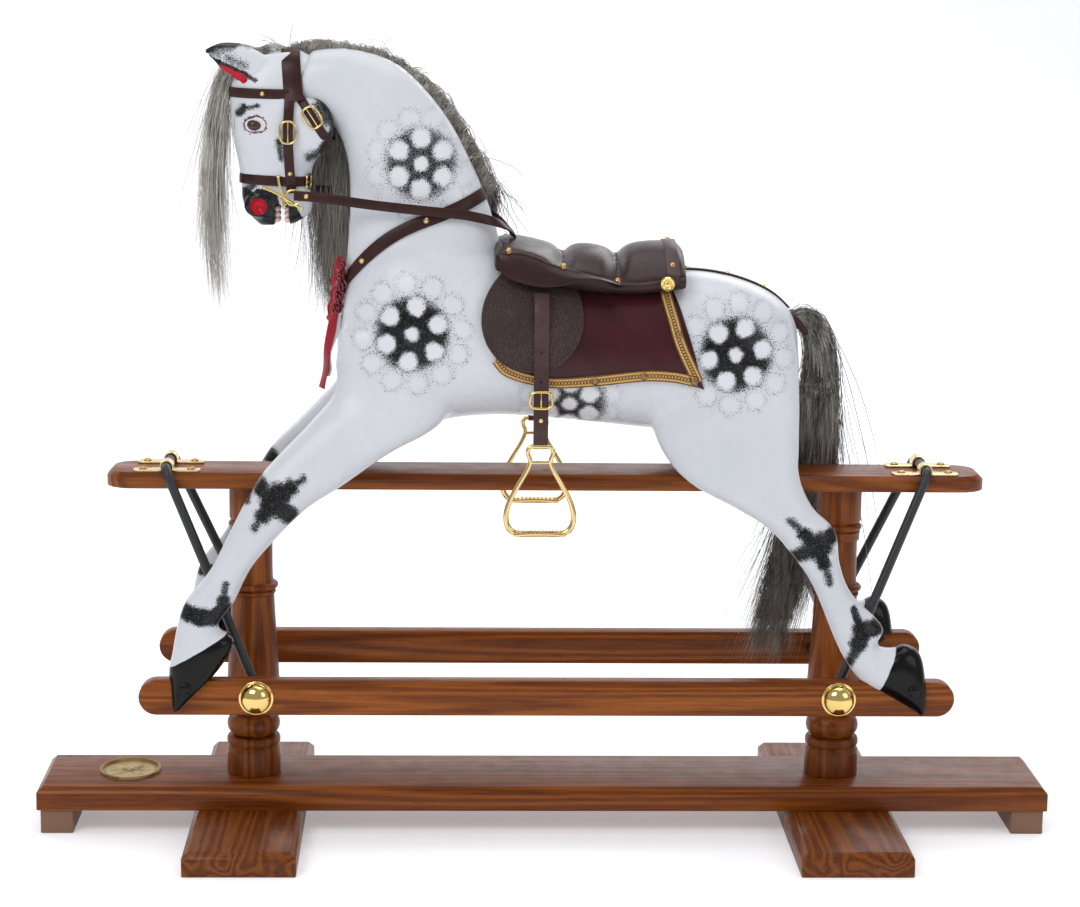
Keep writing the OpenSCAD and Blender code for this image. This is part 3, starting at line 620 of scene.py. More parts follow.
@dataclass(frozen=True)
class StainedWood(Finish):
    """Stained and varnished softwood with a clear grain."""

    slot: str = "stained_wood"
    grain: Grain = Grain.ALONG_X
    shade: float = 1.0
    shift: float = 0.0

    def make(self, bench: Bench) -> bpy.types.Material:
        """Lays out the material."""
        move = bench.node("ShaderNodeMapping")
        bench.link(bench.place, move.inputs["Vector"])
        move.inputs["Location"].default_value = (self.shift, self.shift * 0.7, self.shift * 1.3)
        move.inputs["Scale"].default_value = self.grain.value
        at = move.outputs[0]
        swirl = bench.noise(9, 3, 0.5, at)
        rings = bench.math("SINE", bench.math("MULTIPLY", bench.noise(22, 1, 0.3, at), 60))
        rings = bench.fade(rings, -0.9, 1.0)
        fibre = bench.noise(420, 5, 0.6, at)
        pores = bench.fade(bench.noise(900, 3, 0.5, at), 0.6, 0.72)

        def stain(*shades: int) -> tuple[float, float, float, float]:
            """An everyday colour, darkened by this wood's shade."""
            return paint(*(int(v * self.shade) for v in shades))

        colour = bench.ramp(bench.math("ADD", bench.math("MULTIPLY", rings, 0.3), bench.math("MULTIPLY", fibre, 0.75)),
                            (0.15, stain(66, 28, 8)), (0.42, stain(112, 56, 15)),
                            (0.7, stain(140, 76, 24)), (0.92, stain(164, 96, 36)))
        colour = bench.mix(bench.fade(swirl, 0.35, 0.75, 0.0, 0.45), colour, stain(86, 34, 12))
        colour = bench.mix(bench.math("MULTIPLY", pores, 0.55), colour, stain(52, 20, 8))
        rough = bench.fade(bench.noise(30, 3), 0.3, 0.8, 0.36, 0.5)
        normal = bench.bump(bench.math("SUBTRACT", fibre, pores), 0.0003, 0.35)
        normal = bench.bump(bench.noise(6, 2), 0.002, 0.12, normal)
        return bench.finish(colour, rough, normal, Coat_Weight=0.14, Coat_Roughness=0.14, IOR=1.42)


@dataclass(frozen=True)
class Brass(Finish):
    """Brass, from polished to dull."""

    slot: str = "brass"
    bright: tuple = (232, 200, 128)
    dark: tuple = (170, 120, 58)
    rough: float = 0.16
    tarnish: float = 0.35

    def make(self, bench: Bench) -> bpy.types.Material:
        """Lays out the material."""
        cloud = bench.noise(55, 5, 0.6)
        speck = bench.noise(600, 3, 0.6)
        spots = bench.fade(bench.math("ADD", bench.math("MULTIPLY", cloud, 0.6),
                                      bench.math("MULTIPLY", speck, 0.4)), 0.48, 0.7)
        colour = bench.mix(bench.math("MULTIPLY", spots, self.tarnish), paint(*self.bright), paint(*self.dark))
        rough = bench.math("ADD", bench.math("MULTIPLY", spots, 0.18), self.rough)
        brush = bench.noise(240, 3, 0.6, bench.stretched((1, 6, 1)))
        return bench.finish(colour, rough, bench.bump(brush, 0.0002, 0.25), Metallic=1.0)


@dataclass(frozen=True)
class Enamel(Finish):
    """Gloss enamel paint on metal or wood, with slight orange peel."""

    slot: str = "black_iron"
    colour: tuple = (10, 10, 11)
    worn: tuple = (30, 29, 29)
    rough: float = 0.22

    def make(self, bench: Bench) -> bpy.types.Material:
        """Lays out the material."""
        wear = bench.fade(bench.noise(120, 6, 0.7), 0.56, 0.8)
        colour = bench.mix(bench.math("MULTIPLY", wear, 0.5), paint(*self.colour), paint(*self.worn))
        rough = bench.math("ADD", bench.math("MULTIPLY", wear, 0.2), self.rough)
        normal = bench.bump(bench.noise(320, 2), 0.0004, 0.2)
        return bench.finish(colour, rough, normal, Coat_Weight=0.15, Coat_Roughness=0.1, IOR=1.42)


@dataclass(frozen=True)
class Leather(Finish):
    """Smooth oiled leather with a fine grain and paler wear."""

    slot: str = "dark_leather"
    base: tuple = (58, 36, 34)
    worn: tuple = (92, 62, 56)
    rough: float = 0.38
    grain: float = 700.0
    depth: float = 0.00035
    streak: tuple = (1.0, 1.0, 1.0)

    def make(self, bench: Bench) -> bpy.types.Material:
        """Lays out the material."""
        pores = bench.cells(self.grain)
        cloud = bench.noise(22, 5, 0.6, bench.stretched(self.streak))
        rub = bench.fade(bench.noise(150, 5, 0.7), 0.5, 0.75)
        colour = bench.mix(bench.fade(cloud, 0.35, 0.8, 0.0, 0.55), paint(*self.base), paint(*self.worn))
        colour = bench.mix(bench.math("MULTIPLY", rub, 0.28), colour, paint(*self.worn))
        colour = bench.mix(bench.fade(pores, 0.0, 0.25, 0.35, 0.0), colour, paint(26, 15, 14))
        rough = bench.fade(cloud, 0.3, 0.8, self.rough - 0.06, self.rough + 0.14)
        normal = bench.bump(bench.math("ADD", pores, bench.math("MULTIPLY", rub, 0.5)), self.depth, 0.5)
        normal = bench.bump(bench.noise(35, 3), 0.0012, 0.25, normal)
        return bench.finish(colour, rough, normal, Coat_Weight=0.12, Coat_Roughness=0.22, IOR=1.46)


@dataclass(frozen=True)
class PebbledLeather(Finish):
    """Thick leather with an embossed pebble grain."""

    slot: str = "pebbled_leather"

    def make(self, bench: Bench) -> bpy.types.Material:
        """Lays out the material."""
        wander = bench.mix(0.02, bench.place, bench.node("ShaderNodeTexNoise").outputs["Color"])
        pebbles = bench.cells(300, "SMOOTH_F1", wander)
        creases = bench.fade(bench.cells(230, "DISTANCE_TO_EDGE", wander), 0.0, 0.16)
        fine = bench.noise(1400, 3)
        cloud = bench.noise(18, 4)
        colour = bench.mix(bench.fade(cloud, 0.3, 0.75), paint(66, 53, 51), paint(82, 67, 64))
        colour = bench.mix(bench.fade(creases, 0, 1, 0.6, 0), colour, paint(52, 42, 41))
        height = bench.math("SUBTRACT", creases, bench.math("MULTIPLY", pebbles, 0.5))
        normal = bench.bump(height, 0.0011, 0.75)
        normal = bench.bump(fine, 0.0002, 0.3, normal)
        return bench.finish(colour, bench.fade(creases, 0, 1, 0.66, 0.46), normal, IOR=1.46)


@dataclass(frozen=True)
class MaroonCloth(Finish):
    """Coated maroon saddle cloth with a close weave under the gloss."""

    slot: str = "maroon_cloth"

    def make(self, bench: Bench) -> bpy.types.Material:
        """Lays out the material."""
        warp = bench.node("ShaderNodeTexWave", bands_direction="X")
        weft = bench.node("ShaderNodeTexWave", bands_direction="Z")
        for made in (warp, weft):
            bench.link(bench.place, made.inputs["Vector"])
            made.inputs["Scale"].default_value = 260
            made.inputs["Distortion"].default_value = 0.4
        weave = bench.math("MULTIPLY", warp.outputs[1], weft.outputs[1])
        cloud = bench.noise(14, 4, 0.6)
        colour = bench.mix(bench.fade(cloud, 0.3, 0.75), paint(40, 3, 8), paint(66, 7, 15))
        colour = bench.mix(bench.math("MULTIPLY", weave, 0.16), colour, paint(92, 18, 26))
        normal = bench.bump(weave, 0.00018, 0.3)
        normal = bench.bump(bench.noise(28, 3), 0.002, 0.2, normal)
        rough = bench.fade(cloud, 0.3, 0.8, 0.3, 0.42)
        return bench.finish(colour, rough, normal, Coat_Weight=0.3, Coat_Roughness=0.22,
                            Sheen_Weight=0.15, IOR=1.46)


@dataclass(frozen=True)
class Thread(Finish):
    """Woven or twisted thread: braid, ribbon, stitching."""

    slot: str = "gold_braid"
    light: tuple = (214, 158, 70)
    dark: tuple = (132, 80, 26)
    twist: float = 420.0
    rough: float = 0.55

    def make(self, bench: Bench) -> bpy.types.Material:
        """Lays out the material."""
        ply = bench.node("ShaderNodeTexWave", bands_direction="DIAGONAL")
        bench.link(bench.place, ply.inputs["Vector"])
        ply.inputs["Scale"].default_value = self.twist
        ply.inputs["Distortion"].default_value = 1.5
        fluff = bench.noise(1200, 4, 0.7)
        tone = bench.math("ADD", bench.math("MULTIPLY", ply.outputs[1], 0.55), bench.math("MULTIPLY", fluff, 0.45))
        colour = bench.mix(bench.fade(tone, 0.2, 0.8), paint(*self.dark), paint(*self.light))
        colour = bench.mix(bench.fade(bench.noise(40, 3), 0.4, 0.8, 0, 0.35), colour, paint(*self.dark))
        return bench.finish(colour, self.rough, bench.bump(tone, 0.0005, 0.5), Sheen_Weight=0.3)


@dataclass(frozen=True)
class Hair(Finish):
    """Horse hair: mixed grey strands with a soft shine."""

    slot: str = "grey_hair"
    light: tuple = (176, 170, 158)
    dark: tuple = (62, 57, 50)
    balance: float = 0.5

    def make(self, bench: Bench) -> bpy.types.Material:
        """Lays out the material."""
        strand = bench.noise(330, 3, 0.7, bench.stretched((1, 1, 0.05)))
        lock = bench.noise(60, 3, 0.6, bench.stretched((1, 1, 0.12)))
        along = bench.noise(25, 3)
        tone = bench.math("ADD", bench.math("MULTIPLY", strand, 0.55), bench.math("MULTIPLY", lock, 0.45))
        low = 0.62 - 0.3 * self.balance
        colour = bench.mix(bench.fade(tone, low - 0.13, low + 0.2), paint(*self.dark), paint(*self.light))
        colour = bench.mix(bench.fade(along, 0.45, 0.8, 0, 0.4), colour, paint(120, 96, 70), "MULTIPLY")
        return bench.finish(colour, 0.42, bench.bump(strand, 0.0003, 0.3), Sheen_Weight=0.1, IOR=1.5)


@dataclass(frozen=True)
class Gloss(Finish):
    """Smooth gloss over a mottled colour: glass, lacquer or bone."""

    slot: str = "glass_eye"
    base: tuple = (24, 12, 8)
    fleck: tuple = (60, 30, 18)
    scale: float = 300.0
    rough: float = 0.05
    metal: float = 0.0

    def make(self, bench: Bench) -> bpy.types.Material:
        """Lays out the material."""
        cloud = bench.noise(self.scale, 4, 0.6)
        colour = bench.mix(bench.fade(cloud, 0.4, 0.75), paint(*self.base), paint(*self.fleck))
        rough = bench.fade(cloud, 0.3, 0.8, self.rough, self.rough + 0.08)
        return bench.finish(colour, rough, bench.bump(cloud, 0.0002, 0.1), Metallic=self.metal,
                            Coat_Weight=0.25, Coat_Roughness=0.04, IOR=1.5)


@dataclass(frozen=True)
class Backdrop(Finish):
    """Pale studio paper."""

    slot: str = ""

    def make(self, bench: Bench) -> bpy.types.Material:
        """Lays out the material."""
        cloud = bench.noise(2, 3)
        colour = bench.mix(cloud, paint(246, 247, 250), paint(250, 251, 252))
        return bench.finish(colour, 0.8, Emission_Color=paint(250, 251, 255), Emission_Strength=0.3)


# ---------------------------------------------------------------- studio

@dataclass
class Studio:
    """Camera, lights and pale floor round the horse."""

    eye: tuple = (-0.1428, -3.7622, 1.1831)
    turn: float = 0.0354
    dip: float = 0.1768
    roll: float = 0.0118
    lens: float = 94.09
    floor_width: float = 14.0
    floor_depth: float = 9.0
    wall_height: float = 6.0

    def build(self) -> None:
        """Makes the camera, the lights and the floor."""
        self.camera()
        self.floor()
        self.lights()

    def camera(self) -> None:
        """Sets the camera at the viewing angle."""
        look = Vector((math.sin(self.turn) * math.cos(self.dip), math.cos(self.turn) * math.cos(self.dip),
                       -math.sin(self.dip)))
        flat = Vector((math.cos(self.turn), -math.sin(self.turn), 0))
        rise = flat.cross(look)
        right = math.cos(self.roll) * flat + math.sin(self.roll) * rise
        up = -math.sin(self.roll) * flat + math.cos(self.roll) * rise
        lens = bpy.data.cameras.new("camera")
        lens.lens = self.lens
        lens.sensor_width = 36
        holder = bpy.data.objects.new("camera", lens)
        holder.matrix_world = Matrix.Translation(self.eye) @ Matrix((right, up, -look)).transposed().to_4x4()
        bpy.context.scene.collection.objects.link(holder)
        bpy.context.scene.camera = holder

    def floor(self) -> None:
        """Makes a pale floor that sweeps up behind."""
        radius, steps = 2.2, 24
        back = self.floor_depth / 2
        line = [(-self.floor_depth / 2, 0.0)]
        line += [(back - radius + radius * math.sin(a), radius - radius * math.cos(a))
                 for a in np.linspace(0, math.pi / 2, steps)]
        line.append((back, self.wall_height))
        wide = np.linspace(-self.floor_width / 2, self.floor_width / 2, 3)
        points = [(x, y, z) for y, z in line for x in wide]
        faces = [(3 * i + j, 3 * i + j + 1, 3 * i + j + 4, 3 * i + j + 3)
                 for i in range(len(line) - 1) for j in range(2)]
        floor = Sketch().add(points, faces).object("studio_floor", 60)
        floor.data.materials.append(Backdrop("studio_paper", "").material())

    def lights(self) -> None:
        """Hangs soft lamps and fills the room with pale light."""
        world = bpy.data.worlds.new("room")
        world.use_nodes = True
        world.node_tree.nodes["Background"].inputs[0].default_value = (0.97, 0.98, 1.0, 1)
        world.node_tree.nodes["Background"].inputs[1].default_value = 0.42
        bpy.context.scene.world = world
        self.lamp("key", (-1.9, -2.7, 3.1), (2.2, 1.6), 54)
        self.lamp("fill", (2.6, -2.4, 1.9), (1.8, 1.8), 16)
        self.lamp("top", (0.2, 0.3, 3.4), (3.0, 2.0), 36)
        self.lamp("rim", (1.6, 2.9, 2.6), (2.4, 1.2), 24)
        self.lamp("rim_left", (-2.4, 2.4, 2.2), (1.6, 1.6), 15)

    def lamp(self, name: str, place_at: Point, size: tuple[float, float], power: float) -> None:
        """Hangs one soft lamp that looks at the horse.

        Args:
            name: Name of the lamp.
            place_at: Where it hangs, in metres.
            size: Width and height of its face.
            power: Its power in watts.
        """
        light = bpy.data.lights.new(name, "AREA")
        light.shape = "RECTANGLE"
        light.size, light.size_y = size
        light.energy = power
        holder = bpy.data.objects.new(name, light)
        spot = Vector(place_at)
        holder.matrix_world = Matrix.Translation(spot) @ (
            (Vector((0, 0, 0.5)) - spot).to_track_quat("-Z", "Y").to_matrix().to_4x4())
        bpy.context.scene.collection.objects.link(holder)


# ---------------------------------------------------------------- stand

def box_mm(node: str) -> tuple[Vector, Vector]:
    """Size and middle of a node of the frame, in millimetres."""
    low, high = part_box(node)
    return (high - low) / MM, (high + low) / 2 / MM


def strap_section(width: float, thick: float) -> list[tuple[float, float]]:
    """Rounded outline of a strap or plate: (across, up) pairs that start at its lower face.

    Args:
        width: Width across.
        thick: Thickness.

    Returns:
        Twelve points of the outline, counter-clockwise.
    """
    w, ease = width / 2, min(0.32 * thick, 0.2 * width)
    soft = 0.3 * ease
    return [(-w + ease, 0), (w - ease, 0), (w - soft, soft), (w, ease), (w, thick - ease),
            (w - soft, thick - soft), (w - ease, thick), (0, thick), (-w + ease, thick),
            (-w + soft, thick - soft), (-w, thick - ease), (-w, ease)]


def ribbon(sketch: Sketch, path: np.ndarray, normals: np.ndarray, width: float | Sequence[float],
           thick: float, lift: float = 0.0, closed: bool = False) -> Sketch:
    """Lays a flat strap along a path.

    Args:
        sketch: The sketch that takes the strap.
        path: Points along the middle of its lower face, in metres.
        normals: Unit directions away from what it lies on.
        width: Width, or one width for each point, in millimetres.
        thick: Thickness in millimetres.
        lift: Gap under the strap in millimetres.
        closed: Whether the strap is a loop.

    Returns:
        The sketch.
    """
    ways = ways_along(path, closed)
    normals = normals - ways * np.sum(normals * ways, 1)[:, None]
    normals /= np.linalg.norm(normals, axis=1)[:, None]
    sides = np.cross(ways, normals)
    wides = np.broadcast_to(width, len(path))
    rings = [[path[i] + (sides[i] * a + normals[i] * (b + lift)) * MM
              for a, b in strap_section(wides[i], thick)] for i in range(len(path))]
    return sketch.loft(rings, closed)


@dataclass
class Stand:
    """Floor stand: base boards, turned posts, top rail and brass fittings."""

    edge_cut: float = 8.0
    rail_corner: float = 36.0
    rail_cut: float = 7.0
    plate_width: float = 22.0
    plate_length: float = 89.0
    plate_thick: float = 2.5
    bracket_y: float = 31.0
    rod: float = 12.7
    wood: StainedWood = StainedWood("stained_wood_x")
    wood_across: StainedWood = StainedWood("stained_wood_y", grain=Grain.ALONG_Y, shade=0.9, shift=0.4)
    wood_turned: StainedWood = StainedWood("stained_wood_z", grain=Grain.ALONG_Z, shift=1.1)
    wood_dark: StainedWood = StainedWood("dark_wood", "dark_wood", grain=Grain.ALONG_Y, shade=0.42, shift=2.0)
    brass: Brass = Brass("bracket_brass", bright=(238, 212, 156), dark=(190, 148, 92), rough=0.2)
    cast: Brass = Brass("cast_brass", "dull_brass", bright=(176, 152, 104), dark=(92, 70, 42), rough=0.36,
                        tarnish=0.8)
    screw: Brass = Brass("screw_brass", bright=(198, 166, 108), dark=(120, 88, 50), rough=0.25, tarnish=0.6)
    steel: Gloss = Gloss("bare_steel", "steel", (150, 150, 148), (110, 108, 104), 400, 0.3, 1.0)

    def build(self) -> None:
        """Makes every piece of the stand."""
        self.boards()
        for node in ("front_post", "rear_post"):
            self.post(node)
        self.top_rail()
        for node in ("front_brackets", "rear_brackets"):
            self.brackets(node)
        self.cast_plate()
        for node, finish in (("bracket_screws", self.screw), ("base_screws", self.steel)):
            keep_node(node, finish)

    def boards(self) -> None:
        """Makes the beam, the cross pieces and the end blocks."""
        for node, finish, cut in (("base_beam", self.wood, self.edge_cut),
                                  ("front_cross_piece", self.wood_across, self.edge_cut),
                                  ("rear_cross_piece", self.wood_across, self.edge_cut),
                                  ("front_end_block", self.wood_dark, 0),
                                  ("rear_end_block", self.wood_dark, 0)):
            size, middle = box_mm(node)
            place(Sketch().slab(size, middle, 1.4, cut).object(node + "_board", 30), "stand", finish, [node])

    def post(self, node: str) -> None:
        """Turns one post.

        Args:
            node: The post's node in the frame.
        """
        low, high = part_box(node)
        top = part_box("top_rail")[0].z
        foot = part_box("base_beam")[1].z
        s = (top - foot) / (404 * MM)
        ball = [(20 + 16 * math.cos(a), 69 + 17 * math.sin(a)) for a in np.radians(np.arange(-66, 67, 8.25))]
        bead = [(28.5 + 6 * math.cos(a), 263 + 5 * math.sin(a)) for a in np.radians(np.arange(-90, 91, 15))]
        small = [(28.5 + 2.8 * math.cos(a), 254 + 3 * math.sin(a)) for a in np.radians(np.arange(-90, 91, 20))]
        upper = [(28.5 + 4 * math.cos(a), 348 + 4.5 * math.sin(a)) for a in np.radians(np.arange(-90, 91, 15))]
        taper = smooth_rows([(36.4, 104), (36.5, 112), (34.6, 150), (31.6, 200), (29, 248)], 6)
        outline = [(0, 0), (35.8, 0), (36.5, 0.8), (36.5, 30), (35.8, 36), (34.4, 38), (33.5, 40), (34.6, 41.4),
                   (36.2, 42.4), (36.6, 46), (36.4, 49.5), (35, 52), (31, 52.6), *ball, (27.4, 86), (27, 87.5),
                   (27.4, 90), (28.5, 92), (32, 95.4), (34, 97), (35.6, 100), *[tuple(p) for p in taper],
                   (28.7, 250.6), *small, (28.3, 257.6), *bead, (28.2, 269), (27.4, 274), (27, 290), (27, 329.4),
                   (29.2, 330), (29.7, 331), (29.7, 335), (29.9, 338), (30.5, 341), *upper, (28.8, 353.4),
                   (29.4, 355), (30.8, 356.2), (31.2, 358), (31.2, 404), (0, 404)]
        outline = [(r, h * s) for r, h in outline]
        middle = (low + high) / 2
        piece = Sketch().lathe(outline, (middle.x, 0, foot), steps=72).object(node + "_turning", 40)
        place(piece, "stand", self.wood_turned, [node])

    def top_rail(self) -> None:
        """Shapes the top rail with its round corners."""
        size, middle = box_mm("top_rail")
        place(rounded_board(size, middle, self.rail_corner, self.rail_cut).object("top_rail_board", 30),
              "stand", self.wood, ["top_rail"])

    def brackets(self, node: str) -> None:
        """Bends the two brass straps over one iron.

        Args:
            node: The node of the pair.
        """
        low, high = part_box(node)
        x, base = (low.x + high.x) / 2, low.z
        hug = self.rod / 2 + 0.3
        turn = np.radians(np.arange(180, -1, -15))
        side = [(-self.plate_length / 2 + d, 0) for d in (0, 1.2, 3, 6, 16, 27)]
        side += [(-hug - 5, 0), (-hug - 1.2, 0.8), (-hug, 2.6)]
        line = side + [(hug * math.cos(a), hug + hug * math.sin(a)) for a in turn]
        line += [(-px, pz) for px, pz in side[::-1]]
        way = ways_along(np.array(line, float))
        sketch = Sketch()
        wide = np.full(len(line), self.plate_width)
        for k, share in enumerate((0.62, 0.84, 0.96)):
            wide[k] = wide[-1 - k] = self.plate_width * share
        for y in (-self.bracket_y, self.bracket_y):
            path = np.array([(x + px * MM, y * MM, base + pz * MM) for px, pz in line])
            normals = np.stack([-way[:, 1], np.zeros(len(line)), way[:, 0]], 1)
            ribbon(sketch, path, normals, wide, self.plate_thick)
        place(sketch.object(node + "_straps", 40), "stand", self.brass, [node])

    def cast_plate(self) -> None:
        """Models the oval cast plate with a plain flower in a rope border."""
        low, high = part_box("cast_plate")
        centre = Vector(((low.x + high.x) / 2, (low.y + high.y) / 2, low.z))
        rx, ry = (high.x - low.x) / 2 / MM, (high.y - low.y) / 2 / MM
        top = (high.z - low.z) / MM
        oval = (rx / ry, 1.0)
        sketch = Sketch()
        sketch.lathe([(0, 0), (ry, 0), (ry, 3.2), (ry - 0.6, top), (ry - 4.4, top), (ry - 5.2, 2.6), (0, 2.4)],
                     centre, steps=96, squash=oval)
        for radius, thick in ((ry - 2.4, 0.9), (ry - 8.6, 0.7)):
            beads = int(2 * math.pi * radius / (2.3 * thick))
            for i in range(beads):
                a = 2 * math.pi * i / beads
                at = centre + mm(radius * oval[0] * math.cos(a), radius * math.sin(a), top if thick > 0.8 else 2.6)
                sketch.lathe(dome_outline(thick, thick), at, steps=8)
        for count, reach, long, wide in ((8, 19, 11, 4.2), (8, 9.5, 5.5, 2.2)):
            for i in range(count):
                a = 2 * math.pi * (i + (0.5 if reach < 10 else 0)) / count
                self.petal(sketch, centre, a, reach, long, wide, oval)
        sketch.lathe(dome_outline(4.6, 2.6), centre + mm(0, 0, 2.2), steps=24)
        place(sketch.object("cast_plate_flower", 40), "stand", self.cast, ["cast_plate"])

    def petal(self, sketch: Sketch, centre: Vector, angle: float, reach: float, long: float, wide: float,
              oval: tuple[float, float]) -> None:
        """Adds one ridged petal.

        Args:
            sketch: The sketch that takes it.
            centre: Middle of the flower.
            angle: Direction of the petal.
            reach: Distance of its middle from the centre.
            long: Half its length.
            wide: Half its width.
            oval: Squash of the plate.
        """
        out = Vector((math.cos(angle) * oval[0], math.sin(angle), 0)).normalized()
        side = Vector((-out.y, out.x, 0))
        rings = []
        for t in np.linspace(-1, 1, 11):
            w = wide * math.sqrt(max(1 - t * t, 0.0)) + 0.05
            high = 1.7 * math.sqrt(max(1 - t * t, 0.0)) + 0.05
            spot = centre + out * (reach + long * t) * MM + mm(0, 0, 2.0)
            rings.append([spot + side * c * w * MM + mm(0, 0, high * h)
                          for c, h in ((-1, 0), (-0.7, 0.7), (-0.2, 0.8), (0, 0.55), (0.2, 0.8), (0.7, 0.7), (1, 0))])
        sketch.loft(rings)


def dome_outline(radius: float, height: float, foot: float = 0.0, steps: int = 7) -> list[tuple[float, float]]:
    """Outline of a dome for a lathe, with an optional upright foot under it."""
    return [(0, 0), (radius, 0), *([(radius, foot)] if foot else []),
            *[(radius * math.cos(a), foot + height * math.sin(a)) for a in np.linspace(0, math.pi / 2, steps)[1:]]]


def rounded_board(size: Point, middle: Point, corner: float, cut: float, ease: float = 1.0) -> Sketch:
    """Board with round corners and a cut top edge.

    Args:
        size: Length, width and thickness in millimetres.
        middle: Middle of the board in millimetres.
        corner: Radius of its corners.
        cut: Size of the cut along the top edge.
        ease: How far each edge is rounded.

    Returns:
        A sketch with the board.
    """
    l, w, h = (v / 2 for v in size)
    rows = [(ease, -h), (0.3 * ease, -h + 0.3 * ease), (0, -h + ease), (0, h - cut - ease / 2), (0.3 * ease, h - cut),
            (cut - 0.6 * ease, h - 0.7 * ease), (cut - 0.1 * ease, h - 0.2 * ease), (cut + 0.5 * ease, h)]
    return Sketch().loft([corner_ring(middle, (l - corner, w - corner), corner - inset, z, 9) for inset, z in rows])


def keep_node(node: str, finish: Finish) -> None:
    """Gives a node of the frame its finish; the node itself stays."""
    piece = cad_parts[node]
    piece.data.materials.clear()
    piece.data.materials.append(finish.material())
    LOG.info("%s kept", node)


@dataclass
class Swing:
    """Bent irons, hoof rails, brass domes and hoof bolts."""

    rod: float = 12.7
    bend: float = 13.0
    rail_ease: float = 2.2
    hole_play: float = 0.3
    open_play: float = 4.7
    open_shift: float = 3.7
    bolt_face: float = 167.0
    bolt_head: float = 7.5
    iron: Enamel = Enamel("black_iron")
    wood: StainedWood = StainedWood("hoof_rail_wood", shade=1.04, shift=0.9)
    brass: Brass = Brass("dome_brass", bright=(236, 206, 130), dark=(190, 140, 70), rough=0.08, tarnish=0.2)
    bolt: Enamel = Enamel("bolt_black", rough=0.3)

    def build(self) -> None:
        """Makes every piece of the swing."""
        for node, body in (("front_swing_iron", "front_iron"), ("rear_swing_iron", "rear_iron")):
            self.swing_iron(node, body)
        for node in ("near_hoof_rail", "far_hoof_rail"):
            self.hoof_rail(node)
        self.domes()
        self.bolts()

    def pivots(self, node: str) -> tuple[float, float, float, float]:
        """Upper x and z and lower x and z of an iron, in millimetres."""
        low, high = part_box(node)
        r = self.rod / 2
        up_z, low_z = high.z / MM - r, low.z / MM + r
        if low.x < 0:
            return low.x / MM + r, up_z, high.x / MM - r, low_z
        return high.x / MM - r, up_z, low.x / MM + r, low_z

    def swing_iron(self, node: str, body: str) -> None:
        """Bends one iron rod.

        Args:
            node: The iron's node.
            body: The body that it is.
        """
        ux, uz, lx, lz = self.pivots(node)
        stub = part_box(node)[1].y / MM
        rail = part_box("far_hoof_rail")
        low_y = rail[0].y / MM - 12
        top_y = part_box("top_rail")[1].y / MM + 7
        half = [(lx, -stub, lz), (lx, -low_y, lz), (ux, -top_y, uz)]
        corners = [mm(*p) for p in half] + [mm(p[0], -p[1], p[2]) for p in half[::-1]]
        path = rounded_path(corners, self.bend * MM, 10)
        piece = Sketch().tube(resample(np.array(path), 0.004), self.rod / 2 * MM, 24).object(node + "_rod", 60)
        place(piece, body, self.iron, [node])

    def hoof_rail(self, node: str) -> None:
        """Shapes one hoof rail with its round ends.

        Args:
            node: The rail's node.
        """
        size, middle = box_mm(node)
        half, r = size.x / 2 - size.z / 2, size.z / 2
        e = self.rail_ease
        rings = []
        for inset, y in ((e, -1), (0.35 * e, -1 + 0.5 * e / size.y), (0, -1 + 2 * e / size.y),
                         (0, 1 - 2 * e / size.y), (0.35 * e, 1 - 0.5 * e / size.y), (e, 1)):
            ring = []
            for sign, start in ((1, -90), (-1, 90)):
                for a in np.radians(np.arange(start, start + 181, 7.5)):
                    ring.append(mm(middle.x + sign * half + (r - inset) * math.cos(a), middle.y + y * size.y / 2,
                                   middle.z + (r - inset) * math.sin(a)))
            rings.append(ring)
        rail = Sketch().loft(rings).object(node + "_board", 35)
        drill = Sketch()
        for iron, radius, shift in (("front_swing_iron", self.rod / 2 + self.hole_play, 0),
                                    ("rear_swing_iron", self.rod / 2 + self.open_play, self.open_shift)):
            _, _, x, z = self.pivots(iron)
            drill.lathe([(0, 0), (radius, 0), (radius, 2 * size.y), (0, 2 * size.y)],
                        mm(x + shift, middle.y - size.y, z), (0, 1, 0), 40)
        cut_away(rail, drill.object("drill", None))
        place(rail, "horse", self.wood, [node])

    def domes(self) -> None:
        """Spins the polished domes over the ends of the irons."""
        sketch = Sketch()
        low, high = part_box("dome_caps")
        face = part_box("far_hoof_rail")[1].y
        r = 23.0
        cup = [(20.4 * math.cos(a), 2.4 + 15.6 * math.sin(a)) for a in np.linspace(0, math.pi / 2, 16)]
        outline = [(0, 0), (r - 0.5, 0), (r, 0.4), (r, 1.2), (r - 0.5, 1.8), (21.4, 2.0), (20.8, 2.2), *cup]
        for x in (low.x + r * MM, high.x - r * MM):
            for side in (NEAR, FAR):
                sketch.lathe(outline, (x, side * face, (low.z + high.z) / 2), (0, side, 0), 64)
        place(sketch.object("polished_domes", 40), "horse", self.brass, ["dome_caps"])

    def bolts(self) -> None:
        """Makes the coach bolts that hold the hooves to the rails."""
        low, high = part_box("hoof_bolts")
        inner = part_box("far_hoof_rail")[0].y / MM
        shank, r = self.bolt_face - inner, self.bolt_head
        sketch = Sketch()
        for x, z in ((low.x / MM + r, 225), (high.x / MM - r, 224)):
            for side in (NEAR, FAR):
                sketch.lathe([(0, 0), (3, 0), (3, shank), (r, shank), (r, shank + 0.7),
                              *[(r * math.cos(a), shank + 0.7 + 3.1 * math.sin(a))
                                for a in np.linspace(0.1, math.pi / 2, 8)]],
                             mm(x, side * inner, z), (0, side, 0), 32)
                nut = [(0, -6), (5, -6), (5.7, -5.4), (5.7, -0.6), (5.2, -0.1), (0, -0.1)]
                sketch.lathe(nut, mm(x, side * inner, z), (0, side, 0), 6)
        place(sketch.object("coach_bolts", 40), "horse", self.bolt, ["hoof_bolts"])


